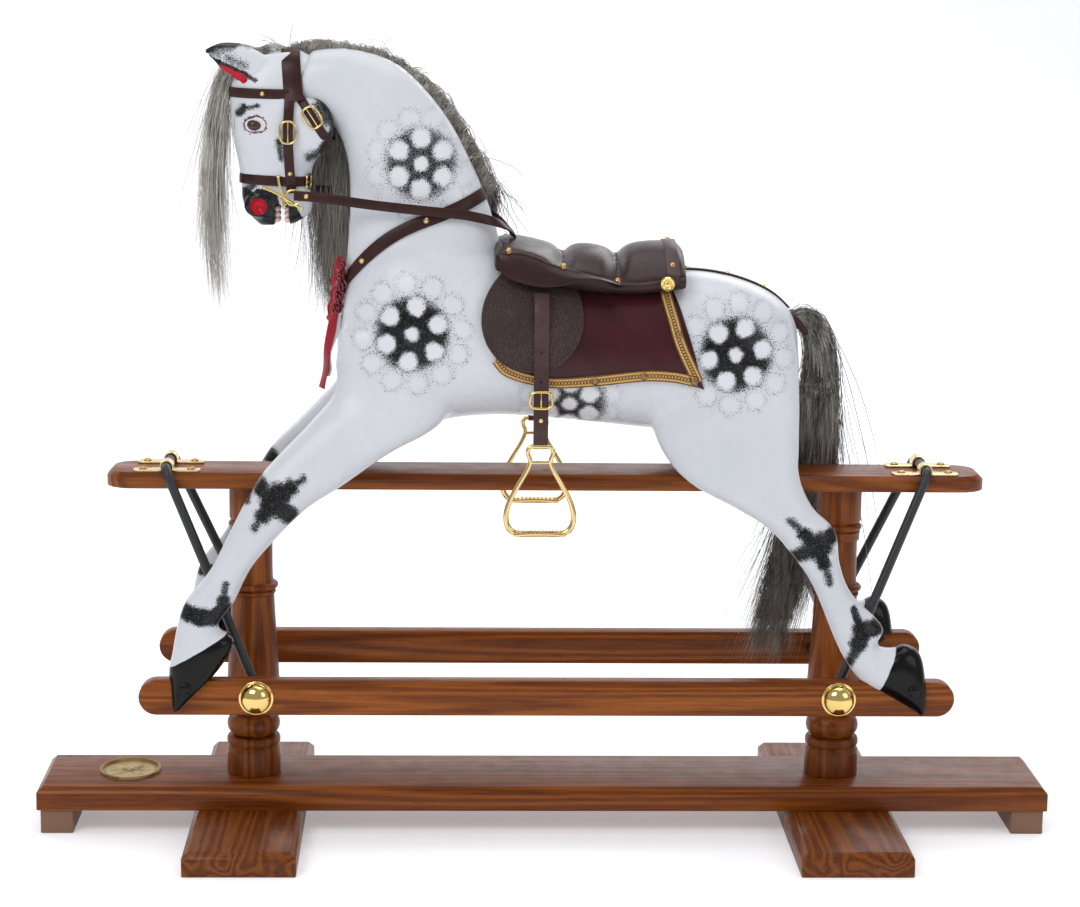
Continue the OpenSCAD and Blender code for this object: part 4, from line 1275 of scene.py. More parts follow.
def cut_away(piece: bpy.types.Object, tool: bpy.types.Object) -> None:
    """Cuts a tool's shape out of a piece and deletes the tool."""
    apply_modifier(piece, "BOOLEAN", operation="DIFFERENCE", object=tool, solver="EXACT")
    remove(tool)


# ---------------------------------------------------------------- paint of the horse

@dataclass(frozen=True)
class Stroke:
    """One pass of the airbrush, seen from the side, in millimetres."""

    start: tuple[float, float]
    end: tuple[float, float]
    radius: float
    soft: float = 7.0
    strength: float = 1.0


@dataclass(frozen=True)
class Dapple:
    """A flower of pale spots in a dark spray, seen from the side, in millimetres."""

    centre: tuple[float, float]
    turn: float
    strength: float = 1.0
    reach: float = 36.0


@dataclass(frozen=True)
class HorsePaint(Finish):
    """Satin grey horse paint with airbrushed dapples, points and muzzle."""

    slot: str = "painted_wood"
    black: tuple[Stroke, ...] = ()
    red: tuple[Stroke, ...] = ()
    white: tuple[Stroke, ...] = ()
    lashes: tuple[Stroke, ...] = ()
    dapples: tuple[Dapple, ...] = ()
    hoof_lines: tuple[tuple[tuple[float, float], tuple[float, float]], ...] = ()
    spread: float = 1.0

    def make(self, bench: Bench) -> bpy.types.Material:
        """Lays out the material."""
        grit = bench.noise(720, 2, 0.6)
        sway = bench.noise(38, 2, 0.5)
        flat = self.flattened(bench)
        cloud = bench.noise(7, 4, 0.55)
        colour = bench.mix(bench.fade(cloud, 0.3, 0.72), paint(206, 209, 215), paint(216, 218, 223))
        colour = bench.mix(bench.fade(bench.noise(90, 4, 0.6), 0.35, 0.8, 0.0, 0.3), colour, paint(198, 202, 209))
        dark: object = 0.0
        pale: object = 0.0
        for dapple in self.dapples:
            spray, spots = self.dapple_masks(bench, flat, dapple)
            dark = bench.math("MAXIMUM", dark, spray)
            pale = bench.math("MAXIMUM", pale, spots)
        for stroke in self.black:
            away = self.distance(bench, flat, stroke)
            dark = bench.math("MAXIMUM", dark, bench.fade(
                away, stroke.radius * MM, (stroke.radius + stroke.soft * self.spread) * MM, stroke.strength, 0.0))
        speck = bench.math("MULTIPLY_ADD", bench.math("SUBTRACT", grit, 0.5), 3.6, bench.math("MULTIPLY", dark, 1.25))
        black = bench.math("MAXIMUM", bench.fade(speck, 0.5, 1.0), bench.fade(dark, 0.3, 0.95, 0.0, 0.9))
        black = bench.math("MULTIPLY", black, bench.fade(dark, 0.0, 0.22))
        colour = bench.mix(bench.math("MULTIPLY", pale, 0.7), colour, paint(224, 226, 230))
        colour = bench.mix(black, colour, bench.mix(sway, paint(8, 8, 9), paint(16, 15, 15)))
        for stroke in self.white:
            colour = bench.mix(self.within(bench, flat, stroke), colour, paint(228, 214, 216))
        for stroke in self.lashes:
            tick = bench.fade(bench.noise(420, 1), 0.42, 0.62, 0.0, 2.4 * MM)
            away = bench.math("SUBTRACT", self.distance(bench, flat, stroke), stroke.radius * MM)
            line = bench.math("MULTIPLY", bench.fade(away, -stroke.soft * MM, 0.0),
                              bench.fade(bench.math("SUBTRACT", away, tick), 0.0, 0.7 * MM, 1.0, 0.0))
            colour = bench.mix(line, colour, paint(74, 10, 28))
        for stroke in self.red:
            wash = bench.mix(sway, paint(196, 12, 40), paint(150, 6, 28))
            colour = bench.mix(self.within(bench, flat, stroke), colour, wash)
        hoof: object = 0.0
        for line in self.hoof_lines:
            hoof = bench.math("MAXIMUM", hoof, self.below_line(bench, line))
        if self.hoof_lines:
            colour = bench.mix(hoof, colour, paint(8, 8, 9))
        rough = bench.fade(bench.noise(60, 3), 0.3, 0.8, 0.26, 0.36)
        rough = bench.math("SUBTRACT", rough, bench.math("MULTIPLY", hoof, 0.1))
        normal = bench.bump(bench.noise(260, 3), 0.00025, 0.2)
        normal = bench.bump(bench.noise(16, 3), 0.003, 0.1, normal)
        return bench.finish(colour, rough, normal, Coat_Weight=0.12, Coat_Roughness=0.2, IOR=1.46)

    def flattened(self, bench: Bench) -> bpy.types.NodeSocket:
        """Side view coordinates (x, 0, z), stirred a little so that no edge is perfect."""
        stir = bench.node("ShaderNodeTexNoise")
        stir.inputs["Scale"].default_value = 70
        stir.inputs["Detail"].default_value = 2
        bench.link(bench.place, stir.inputs["Vector"])
        centred = bench.vector("SUBTRACT", stir.outputs["Color"], (0.5, 0.5, 0.5))
        moved = bench.vector("MULTIPLY_ADD", centred, (0.007, 0.007, 0.007), bench.place)
        return bench.vector("MULTIPLY", moved, (1, 0, 1))

    def distance(self, bench: Bench, flat: object, stroke: Stroke) -> bpy.types.NodeSocket:
        """Distance in metres from the middle line of a stroke."""
        a = mm(stroke.start[0], 0, stroke.start[1])
        d = mm(stroke.end[0], 0, stroke.end[1]) - a
        rel = bench.vector("SUBTRACT", flat, a)
        if d.length < 1e-6:
            return bench.vector("LENGTH", rel, out="Value")
        share = bench.vector("DOT_PRODUCT", rel, d / d.length_squared, out="Value")
        along = bench.math("MINIMUM", bench.math("MAXIMUM", share, 0.0), 1.0)
        reach = bench.node("ShaderNodeVectorMath", operation="SCALE")
        reach.inputs[0].default_value = d
        bench.link(along, reach.inputs["Scale"])
        return bench.vector("DISTANCE", rel, reach.outputs[0], out="Value")

    def within(self, bench: Bench, flat: object, stroke: Stroke) -> bpy.types.NodeSocket:
        """Mask of a stroke whose soft edge lies inside its radius."""
        return bench.fade(self.distance(bench, flat, stroke), (stroke.radius - stroke.soft) * MM,
                          stroke.radius * MM, 1.0, 0.0)

    def dapple_masks(self, bench: Bench, flat: object, dapple: Dapple) -> tuple:
        """Dark spray and pale spots of one flower.

        Args:
            bench: The bench.
            flat: Side view coordinates.
            dapple: The flower.

        Returns:
            Strength of the dark spray and of the pale spots.
        """
        rel = bench.vector("SUBTRACT", flat, mm(dapple.centre[0], 0, dapple.centre[1]))
        rho = bench.vector("LENGTH", rel, out="Value")
        split = bench.node("ShaderNodeSeparateXYZ")
        bench.link(rel, split.inputs[0])
        angle = bench.math("ADD", bench.math("ARCTAN2", split.outputs[2], split.outputs[0]), math.radians(dapple.turn))

        def to_spots(reach: float, count: int) -> bpy.types.NodeSocket:
            """Distance to the closest of a ring of spots."""
            step = 2 * math.pi / count
            fold = bench.math("SUBTRACT", bench.math("FLOORED_MODULO", angle, step), step / 2)
            inner = bench.math("MULTIPLY", bench.math("COSINE", fold), bench.math("MULTIPLY", rho, 2 * reach * MM))
            square = bench.math("ADD", bench.math("MULTIPLY", rho, rho), (reach * MM) ** 2)
            return bench.math("SQRT", bench.math("MAXIMUM", bench.math("SUBTRACT", square, inner), 0.0))

        ring, outer = to_spots(dapple.reach, 6), to_spots(dapple.reach * 1.82, 12)
        inside = bench.math("MULTIPLY", bench.fade(rho, 4 * MM, 14 * MM), bench.fade(ring, 6 * MM, 17 * MM))
        core = bench.fade(rho, 34 * MM, 64 * MM, 1.0, 0.0)
        spray = bench.fade(ring, 10 * MM, 26 * MM, 0.7, 0.0)
        dark = bench.math("MULTIPLY", bench.math("MAXIMUM", spray, core), inside)
        halo = bench.math("MULTIPLY", bench.fade(outer, 11 * MM, 24 * MM, 0.38, 0.0),
                          bench.fade(outer, 7 * MM, 15 * MM))
        halo = bench.math("MULTIPLY", halo, bench.fade(ring, 10 * MM, 19 * MM))
        dark = bench.math("MULTIPLY", bench.math("MAXIMUM", dark, halo), dapple.strength)
        spots = bench.math("MAXIMUM", bench.fade(rho, 5 * MM, 13 * MM, 1, 0), bench.fade(ring, 7 * MM, 15 * MM, 1, 0))
        spots = bench.math("MAXIMUM", spots, bench.fade(outer, 5 * MM, 14 * MM, 0.5, 0))
        return dark, spots

    def below_line(self, bench: Bench, line: tuple) -> bpy.types.NodeSocket:
        """Sharp mask of the hoof: below the line from its first to its second point, at that end of the horse."""
        a, b = mm(line[0][0], 0, line[0][1]), mm(line[1][0], 0, line[1][1])
        d = (b - a).normalized()
        across = Vector((-d.z, 0, d.x))
        height = bench.vector("DOT_PRODUCT", bench.place, across, out="Value")
        wander = bench.math("MULTIPLY", bench.math("SUBTRACT", bench.noise(90, 2), 0.5), 0.0016)
        side = bench.math("SUBTRACT", bench.math("ADD", height, wander), a.dot(across))
        mask = bench.math("MULTIPLY", bench.fade(side, -0.0006, 0.0006), bench.fade(bench.z, 0.305, 0.315, 1.0, 0.0))
        end = math.copysign(1.0, a.x)
        return bench.math("MULTIPLY", mask, bench.fade(bench.math("MULTIPLY", bench.x, end), 0.2, 0.21))


# ---------------------------------------------------------------- body of the horse

Row = tuple[float, float, float, float, float, float]


def section(row: Sequence[float], count: int, power: float) -> np.ndarray:
    """One closed section that holds the Y direction.

    Args:
        row: Front x and z, back x and z, middle y and half thickness, in millimetres.
        count: Points round it.
        power: How square it is.

    Returns:
        Its points in metres.
    """
    a = np.arange(count) * 2 * math.pi / count
    c, s = bulge(np.cos(a), power), bulge(np.sin(a), power)
    fx, fz, bx, bz, side, half = row
    return np.stack([(fx + bx) / 2 + c * (fx - bx) / 2, side + half * s, (fz + bz) / 2 + c * (fz - bz) / 2], 1) * MM


def limb(sketch: Sketch, rows: Sequence[Row], side: int = NEAR, count: int = 48, power: float = 2.2,
         steps: int = 6) -> Sketch:
    """Adds a smooth limb through sections given for the near side.

    Args:
        sketch: The sketch that takes it.
        rows: The sections.
        side: NEAR keeps them, FAR mirrors them.
        count: Points round each section.
        power: How square the sections are.
        steps: Steps between two sections.

    Returns:
        The sketch.
    """
    rings = []
    for row in smooth_rows(rows, steps):
        row[5] = max(row[5], 0.6)
        ring = section(row, count, power)
        if side == FAR:
            ring = ring * (1, -1, 1)
        rings.append(ring)
    return sketch.loft(rings)


def ellipsoid(sketch: Sketch, centre: Point, radii: Point, tilt: float = 0.0, steps: int = 20) -> Sketch:
    """Adds an ellipsoid, in millimetres, tilted about Y by a number of degrees."""
    turn = Matrix.Rotation(math.radians(tilt), 3, "Y")
    rings = []
    for v in np.linspace(0.02, math.pi - 0.02, steps):
        rings.append([mm(*centre) + turn @ mm(radii[0] * math.cos(v), radii[1] * math.sin(v) * math.cos(u),
                                              radii[2] * math.sin(v) * math.sin(u))
                      for u in np.arange(2 * steps) * math.pi / steps])
    return sketch.loft(rings)


@dataclass
class Barrel:
    """Surface of the barrel, by distance along the horse and angle from the spine."""

    power: float = 2.3
    back: tuple = ((-283, 690), (-270, 735), (-240, 788), (-190, 818), (-120, 802), (-50, 777), (30, 758),
                   (110, 756), (180, 763), (240, 756), (290, 738), (320, 715), (334, 690))
    belly: tuple = ((-283, 590), (-270, 566), (-240, 550), (-190, 548), (-120, 562), (-50, 566), (30, 560),
                    (110, 552), (180, 545), (240, 536), (290, 530), (320, 545), (334, 575))
    side: tuple = ((-283, 30), (-270, 58), (-240, 80), (-190, 94), (-120, 101), (-50, 104), (30, 104),
                   (110, 104), (180, 104), (240, 102), (290, 92), (320, 72), (334, 38))

    def __post_init__(self) -> None:
        """Runs smooth curves through the three lines."""
        self.fine = [smooth_rows(line, 6) for line in (self.back, self.belly, self.side)]

    def sizes(self, x: float) -> tuple[float, float, float]:
        """Top, bottom and half width at a distance along the horse, in millimetres."""
        return tuple(float(np.interp(x, fine[:, 0], fine[:, 1])) for fine in self.fine)

    def point(self, x: float, angle: float, off: float = 0.0) -> Vector:
        """Point on the barrel.

        Args:
            x: Distance along the horse in millimetres.
            angle: Angle from the spine in degrees, positive toward the near side.
            off: Height over the surface in millimetres.

        Returns:
            The point in metres.
        """
        top, low, side = self.sizes(x)
        s, c = math.sin(math.radians(angle)), math.cos(math.radians(angle))
        bow = math.copysign(abs(s) ** (2 / self.power), s)
        rise = math.copysign(abs(c) ** (2 / self.power), c)
        return mm(x, -(side + off) * bow, (top + low) / 2 + ((top - low) / 2 + off) * rise)

    def angle_at(self, x: float, z: float) -> float:
        """Angle in degrees at which the surface has a given height, both in millimetres."""
        top, low, _ = self.sizes(x)
        rise = max(min((z - (top + low) / 2) / ((top - low) / 2), 1.0), -1.0)
        return math.degrees(math.acos(math.copysign(abs(rise) ** (self.power / 2), rise)))

    def normal(self, x: float, angle: float) -> Vector:
        """Direction straight out of the barrel."""
        du = self.point(x + 2, angle) - self.point(x - 2, angle)
        dv = self.point(x, angle + 1) - self.point(x, angle - 1)
        out = du.cross(dv).normalized()
        middle = mm(x, 0, sum(self.sizes(x)[:2]) / 2)
        return out if out.dot(self.point(x, angle) - middle) > 0 else -out


class Skin:
    """The painted surface of the horse, as something that straps can be laid on."""

    def __init__(self, pieces: Sequence[bpy.types.Object]) -> None:
        """Gathers the surface of the pieces."""
        points: list = []
        faces: list = []
        for piece in pieces:
            start = len(points)
            points += [v.co.copy() for v in piece.data.vertices]
            faces += [[i + start for i in f.vertices] for f in piece.data.polygons]
        self.tree = BVHTree.FromPolygons(points, faces)

    def touch(self, point: Point) -> tuple[Vector, Vector]:
        """Closest point of the surface and the direction out of it."""
        spot, normal, _, _ = self.tree.find_nearest(Vector(point))
        return spot, normal

    def beside(self, x: float, z: float, side: int) -> tuple[Vector, Vector]:
        """Point of the surface seen from one side of the horse.

        Args:
            x: Distance along the horse in millimetres.
            z: Height in millimetres.
            side: NEAR or FAR.

        Returns:
            The point and the direction out of it.
        """
        spot, normal, _, _ = self.tree.ray_cast(mm(x, side * 400, z), Vector((0, -side, 0)))
        if spot is None:
            return self.touch(mm(x, side * 45, z))
        return spot, normal

    def toward(self, start: Vector, target: Vector) -> tuple[Vector, Vector]:
        """First point of the surface on the way from a start to a target."""
        spot, normal, _, _ = self.tree.ray_cast(start, (target - start).normalized())
        return (spot, normal) if spot is not None else self.touch(target)


@dataclass
class Horse:
    """Carved and painted horse."""

    body_voxel: float = 4.0
    head_voxel: float = 2.2
    barrel: Barrel = field(default_factory=Barrel)
    neck: tuple[Row, ...] = (
        (-283, 640, -35, 735, 0, 78), (-278, 715, -66, 800, 0, 66), (-271, 780, -82, 850, 0, 54),
        (-267, 850, -103, 900, 0, 47), (-270, 905, -142, 970, 0, 43), (-285, 945, -200, 1030, 0, 41),
        (-312, 965, -262, 1051, 0, 39), (-350, 975, -318, 1050, 0, 36))
    head: tuple[Row, ...] = (
        (-392, 1041, -330, 1049, 0, 26), (-416, 1018, -318, 1028, 0, 36), (-424, 998, -322, 998, 0, 42),
        (-424, 972, -297, 978, 0, 46), (-423, 948, -288, 946, 0, 47), (-419, 925, -296, 922, 0, 44),
        (-414, 900, -314, 900, 0, 38), (-410, 872, -319, 868, 0, 34), (-409, 852, -316, 846, 0, 32),
        (-401, 834, -322, 832, 0, 29), (-386, 818, -340, 820, 0, 20))
    ear: tuple[Row, ...] = (
        (-362, 1034, -398, 1000, -22, 10), (-392, 1051, -418, 1013, -26, 13.5), (-418, 1056.5, -438, 1027, -29, 11.5),
        (-440, 1056, -450, 1041, -30, 6), (-454, 1050, -456, 1047, -30, 1.6))
    foreleg: tuple[Row, ...] = (
        (-279, 690, -120, 650, -52, 38), (-284, 610, -138, 568, -66, 37), (-314, 570, -212, 524, -84, 33),
        (-366, 516, -276, 482, -101, 29), (-388, 487, -318, 456, -110, 26), (-418, 430, -356, 420, -117, 23),
        (-446, 375, -392, 378, -124, 21), (-476, 338, -415, 332, -131, 22), (-488, 306, -436, 302, -136, 21),
        (-495, 268, -419, 292, -141, 24), (-500, 244, -414, 277, -142, 25), (-498, 218, -440, 238, -142, 25),
        (-495, 190, -486, 193, -143, 24))
    hindleg: tuple[Row, ...] = (
        (150, 640, 326, 690, -52, 40), (136, 566, 334, 600, -64, 39), (156, 518, 333, 538, -78, 36),
        (191, 485, 333, 497, -90, 33), (248, 456, 350, 458, -100, 28), (291, 430, 380, 428, -108, 25),
        (324, 394, 386, 386, -114, 22), (350, 356, 402, 346, -120, 21), (376, 295, 444, 303, -130, 22),
        (392, 262, 434, 280, -136, 20), (414, 232, 458, 276, -140, 22), (441, 217, 473, 282, -142, 25),
        (462, 205, 493, 269, -142, 25), (486, 192, 501, 230, -142, 25), (496, 185, 500, 188, -143, 22))
    coat: HorsePaint = HorsePaint(
        "horse_coat", spread=2.3,
        dapples=(Dapple((-172, 904), 60, 0.8, 33), Dapple((-182, 685), 8), Dapple((243, 661), 20),
                 Dapple((26, 592), 0, 0.85, 30)),
        black=(
            Stroke((-363, 466), (-356, 476), 9, 8), Stroke((-364, 472), (-382, 490), 4, 7),
            Stroke((-356, 474), (-340, 487), 3, 7), Stroke((-340, 487), (-324, 498), 0.1, 5, 0.8),
            Stroke((-364, 464), (-376, 450), 3, 7), Stroke((-376, 450), (-387, 434), 0.1, 5, 0.8),
            Stroke((-358, 466), (-342, 450), 5, 7), Stroke((-388, 499), (-398, 468), 0.8, 4),
            Stroke((-490, 326), (-456, 318), 5, 5), Stroke((-456, 318), (-424, 314), 6, 5),
            Stroke((-430, 322), (-427, 340), 3, 5), Stroke((-427, 340), (-424, 360), 0.1, 4, 0.8),
            Stroke((-442, 316), (-426, 326), 6, 5),
            Stroke((350, 411), (357, 413), 9, 8), Stroke((350, 414), (336, 428), 3, 6),
            Stroke((336, 428), (316, 446), 0.1, 5, 0.8), Stroke((354, 414), (378, 426), 5, 6),
            Stroke((348, 408), (326, 397), 3.5, 6), Stroke((356, 406), (363, 388), 3, 6),
            Stroke((363, 388), (371, 364), 0.1, 5, 0.8),
            Stroke((403, 328), (410, 312), 1.0, 4), Stroke((412, 303), (444, 306), 5, 6),
            Stroke((416, 300), (409, 284), 5, 6), Stroke((409, 284), (398, 258), 1.5, 5, 0.9)),
        hoof_lines=(((-430, 290), (-495, 251)), ((466, 292), (441, 227))))
    face: HorsePaint = HorsePaint(
        "horse_face", spread=1.8,
        black=(
            Stroke((-411, 967), (-404, 974), 1.2, 5), Stroke((-404, 974), (-385, 977), 0.2, 4, 0.8),
            Stroke((-358, 932), (-355, 910), 0.3, 5, 0.8),
            Stroke((-326, 996), (-306, 990), 1.0, 6, 0.8), Stroke((-306, 990), (-290, 970), 1.5, 7),
            Stroke((-290, 970), (-285, 948), 2.0, 6), Stroke((-285, 948), (-293, 932), 1.5, 6),
            Stroke((-293, 932), (-303, 919), 0.8, 6), Stroke((-303, 919), (-320, 909), 0.2, 7, 0.8),
            Stroke((-303, 978), (-294, 962), 3, 9, 0.8), Stroke((-310, 966), (-300, 962), 1, 8, 0.5),
            Stroke((-404, 852), (-392, 836), 15, 2), Stroke((-390, 838), (-372, 826), 17, 2),
            Stroke((-384, 856), (-372, 856), 9, 3), Stroke((-366, 850), (-366, 812), 6, 2),
            Stroke((-402, 866), (-392, 872), 1, 5, 0.8),
            Stroke((-346, 842), (-338, 826), 9, 2),
            Stroke((-456, 1046), (-442, 1057), 4, 3), Stroke((-442, 1057), (-418, 1059), 4, 6),
            Stroke((-448, 1050), (-424, 1052), 1, 10, 0.7), Stroke((-418, 1059), (-396, 1055), 0.5, 5, 0.8),
            Stroke((-452, 1040), (-430, 1029), 2.5, 2), Stroke((-430, 1029), (-402, 1017), 2, 3),
            Stroke((-402, 1017), (-390, 1010), 0.5, 4, 0.9), Stroke((-424, 1038), (-404, 1028), 0.5, 8, 0.6)),
        red=(Stroke((-386, 844.5), (-386, 844.5), 11.8, 1.0), Stroke((-432, 1026), (-405, 1011), 5.0, 1.4),
             Stroke((-412, 1016), (-405, 1011), 6.4, 1.4)),
        white=(Stroke((-394, 951), (-386, 952.5), 8.6, 0.8), Stroke((-384, 953), (-378, 956), 4.6, 0.8)),
        lashes=(Stroke((-394, 951), (-385, 953), 9.9, 1.5),))

    def build(self) -> tuple[bpy.types.Object, bpy.types.Object]:
        """Makes the painted horse.

        Returns:
            The body and the head, which the tack lies on.
        """
        body = self.body_piece()
        head = self.head_piece()
        place(body, "horse", self.coat, ["torso", "neck", "near_foreleg", "far_foreleg", "near_hindleg", "far_hindleg"])
        place(head, "horse", self.face, ["head", "ears"])
        self.eyes()
        self.teeth()
        return body, head

    def body_piece(self) -> bpy.types.Object:
        """Carves the barrel, neck and legs as one skin."""
        sketch = Sketch()
        rings = []
        for x in smooth_rows(self.barrel.back, 5)[:, 0]:
            rings.append([self.barrel.point(x, a) for a in np.arange(0, 360, 6)])
        sketch.loft(rings)
        limb(sketch, self.neck, count=56)
        for side in (NEAR, FAR):
            limb(sketch, self.foreleg, side)
            limb(sketch, self.hindleg, side)
            ellipsoid(sketch, (-205, side * 52, 640), (80, 42, 78), -20)
            ellipsoid(sketch, (246, side * 50, 640), (88, 46, 88), 10)
        body = sketch.object("horse_body", None)
        apply_modifier(body, "REMESH", mode="VOXEL", voxel_size=self.body_voxel * MM)
        self.soften(body, 34, lambda co: np.clip((co[:, 2] - 0.46) / 0.09, 0, 1))
        self.soften(body, 5, lambda co: np.ones(len(co)))
        low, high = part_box("near_hoof_rail")
        notch = Sketch().slab((1200, 2 * -low.y / MM + 0.4, (high.z - low.z) / MM + 40),
                              (0, 0, high.z / MM - (high.z - low.z) / MM / 2 - 19.9), 0.2)
        cut_away(body, notch.object("rail_room", None))
        bpy.ops.object.shade_smooth_by_angle(angle=math.radians(50))
        return body

    def head_piece(self) -> bpy.types.Object:
        """Carves the head with its brow, nostrils, mouth and ears."""
        sketch = limb(Sketch(), self.head, count=64)
        ellipsoid(sketch, (-346, 0, 1021), (44, 34, 29), 6)
        for side in (NEAR, FAR):
            limb(sketch, self.ear, side, 28, 2.0)
            ellipsoid(sketch, (-399, side * 33, 971), (17, 10.5, 6), 12)
            ellipsoid(sketch, (-387, side * 25, 846), (19, 10.5, 17))
            ellipsoid(sketch, (-352, side * 34, 905), (10, 6, 34), -8)
            ellipsoid(sketch, (-318, side * 30, 950), (32, 20, 40))
        head = sketch.object("horse_head", None)
        apply_modifier(head, "REMESH", mode="VOXEL", voxel_size=self.head_voxel * MM)
        self.soften(head, 10, lambda co: np.clip((1.015 - co[:, 2]) / 0.02, 0.25, 1))
        for tool in self.head_cuts():
            cut_away(head, tool)
        apply_modifier(head, "REMESH", mode="VOXEL", voxel_size=self.head_voxel * MM)
        self.soften(head, 3, lambda co: np.ones(len(co)))
        bpy.ops.object.shade_smooth()
        return head

    def head_cuts(self) -> list[bpy.types.Object]:
        """Shapes that are cut out of the head: mouth, nostrils, eye sockets and the hollows of the ears."""
        mouth = Sketch().slab((19, 120, 60), (-355.5, 0, 818), 3)
        dishes = Sketch()
        sockets = Sketch()
        hollows = Sketch()
        for side in (NEAR, FAR):
            ellipsoid(dishes, (-386, side * 38, 844.5), (12.6, 12.6, 12.6))
            ellipsoid(sockets, (-389.5, side * 47, 952), (14, 6.5, 10))
            inner = []
            for fx, fz, bx, bz, y, half in self.ear[2:]:
                inner.append((fx + (bx - fx) * 0.36, fz + (bz - fz) * 0.36, fx + (bx - fx) * 1.3,
                              fz + (bz - fz) * 1.3, y - 3.5, half * 0.6))
            limb(hollows, inner, side, 20, 2.0)
        return [mouth.object("mouth", None), dishes.object("dishes", None), sockets.object("sockets", None),
                hollows.object("hollows", None)]

    @staticmethod
    def soften(piece: bpy.types.Object, rounds: int, weight: Callable[[np.ndarray], np.ndarray]) -> None:
        """Smooths a skin, more in some places than in others.

        Args:
            piece: The skin.
            rounds: Number of rounds.
            weight: Gives each vertex its share, from its place in metres.
        """
        co = np.zeros(len(piece.data.vertices) * 3)
        piece.data.vertices.foreach_get("co", co)
        shares = np.round(weight(co.reshape(-1, 3)), 1)
        group = piece.vertex_groups.new(name="soft")
        for share in np.unique(shares):
            group.add(np.flatnonzero(shares == share).tolist(), float(share), "REPLACE")
        apply_modifier(piece, "SMOOTH", factor=0.5, iterations=rounds, vertex_group="soft")
        piece.vertex_groups.clear()

    def eyes(self) -> None:
        """Sets the glass eyes."""
        balls = Sketch()
        for side in (NEAR, FAR):
            ellipsoid(balls, (-390, side * 38.6, 951.8), (9.8, 7.2, 7.4), 8, 24)
        place(balls.object("glass_eyes", 60), "horse", Gloss("glass_eye", base=(6, 4, 4), fleck=(20, 11, 8)), ["eyes"])

    def teeth(self) -> None:
        """Sets two rows of teeth that face each other in the open mouth."""
        rows = Sketch()
        for x, lean in ((-362.4, 1), (-348.6, -1)):
            for z in (826, 833.5, 841):
                for y in (-16, -5.5, 5.5, 16):
                    ellipsoid(rows, (x + lean * (1 - abs(y) / 16), y, z), (4.2, 5.4, 4.0), 0, 8)
        place(rows.object("teeth", 60), "horse", Gloss("bone_white", "painted_wood", (232, 206, 204), (206, 150, 152),
                                                       160, 0.25))


# ---------------------------------------------------------------- tack

def smoothed(path: np.ndarray, rounds: int, closed: bool = False) -> np.ndarray:
    """Relaxes a path, as taut leather bridges a hollow.

    Args:
        path: Points of the path.
        rounds: Number of rounds.
        closed: Whether the path is a loop.

    Returns:
        The relaxed path.
    """
    p = np.array(path, float)
    for _ in range(rounds):
        if closed:
            p = (np.roll(p, 1, 0) + 2 * p + np.roll(p, -1, 0)) / 4
        else:
            p[1:-1] = (p[:-2] + 2 * p[1:-1] + p[2:]) / 4
    return p


def stud(sketch: Sketch, spot: Point, normal: Point, radius: float = 3.6, height: float = 2.4) -> None:
    """Adds a domed stud with a thin flange."""
    outline = [(0, -0.6), (radius, -0.6), (radius, 0.3), (radius * 0.86, 0.6)]
    outline += [(radius * 0.84 * math.cos(a), 0.6 + (height - 0.6) * math.sin(a))
                for a in np.linspace(0.1, math.pi / 2, 7)]
    sketch.lathe(outline, spot, normal, 24)


def oval(sketch: Sketch, spot: Vector, normal: Vector, up: Vector, wide: float, high: float,
         wire: float = 1.25, square: float = 2.4) -> None:
    """Adds a buckle frame with its prong, in millimetres, standing on a surface.

    Args:
        sketch: The sketch that takes it.
        spot: Middle of the buckle.
        normal: Direction out of the surface.
        up: Direction along the strap.
        wide: Width of the frame.
        high: Height of the frame.
        wire: Radius of its wire.
        square: How square the frame is.
    """
    side = up.cross(normal).normalized()
    up = normal.cross(side)
    turn = np.arange(40) * 2 * math.pi / 40
    c, s = bulge(np.cos(turn), square), bulge(np.sin(turn), square)
    frame_path = [spot + side * (x * wide / 2 * MM) + up * (z * high / 2 * MM) for x, z in zip(c, s)]
    sketch.tube(frame_path, wire * MM, 12, True)
    prong = [spot + up * (t * high / 2 * MM) + normal * ((1.3 * math.cos(t * 1.4)) * MM) for t in np.linspace(-1, 1, 9)]
    sketch.tube(prong, [0.95 * MM] * 8 + [0.6 * MM], 8)


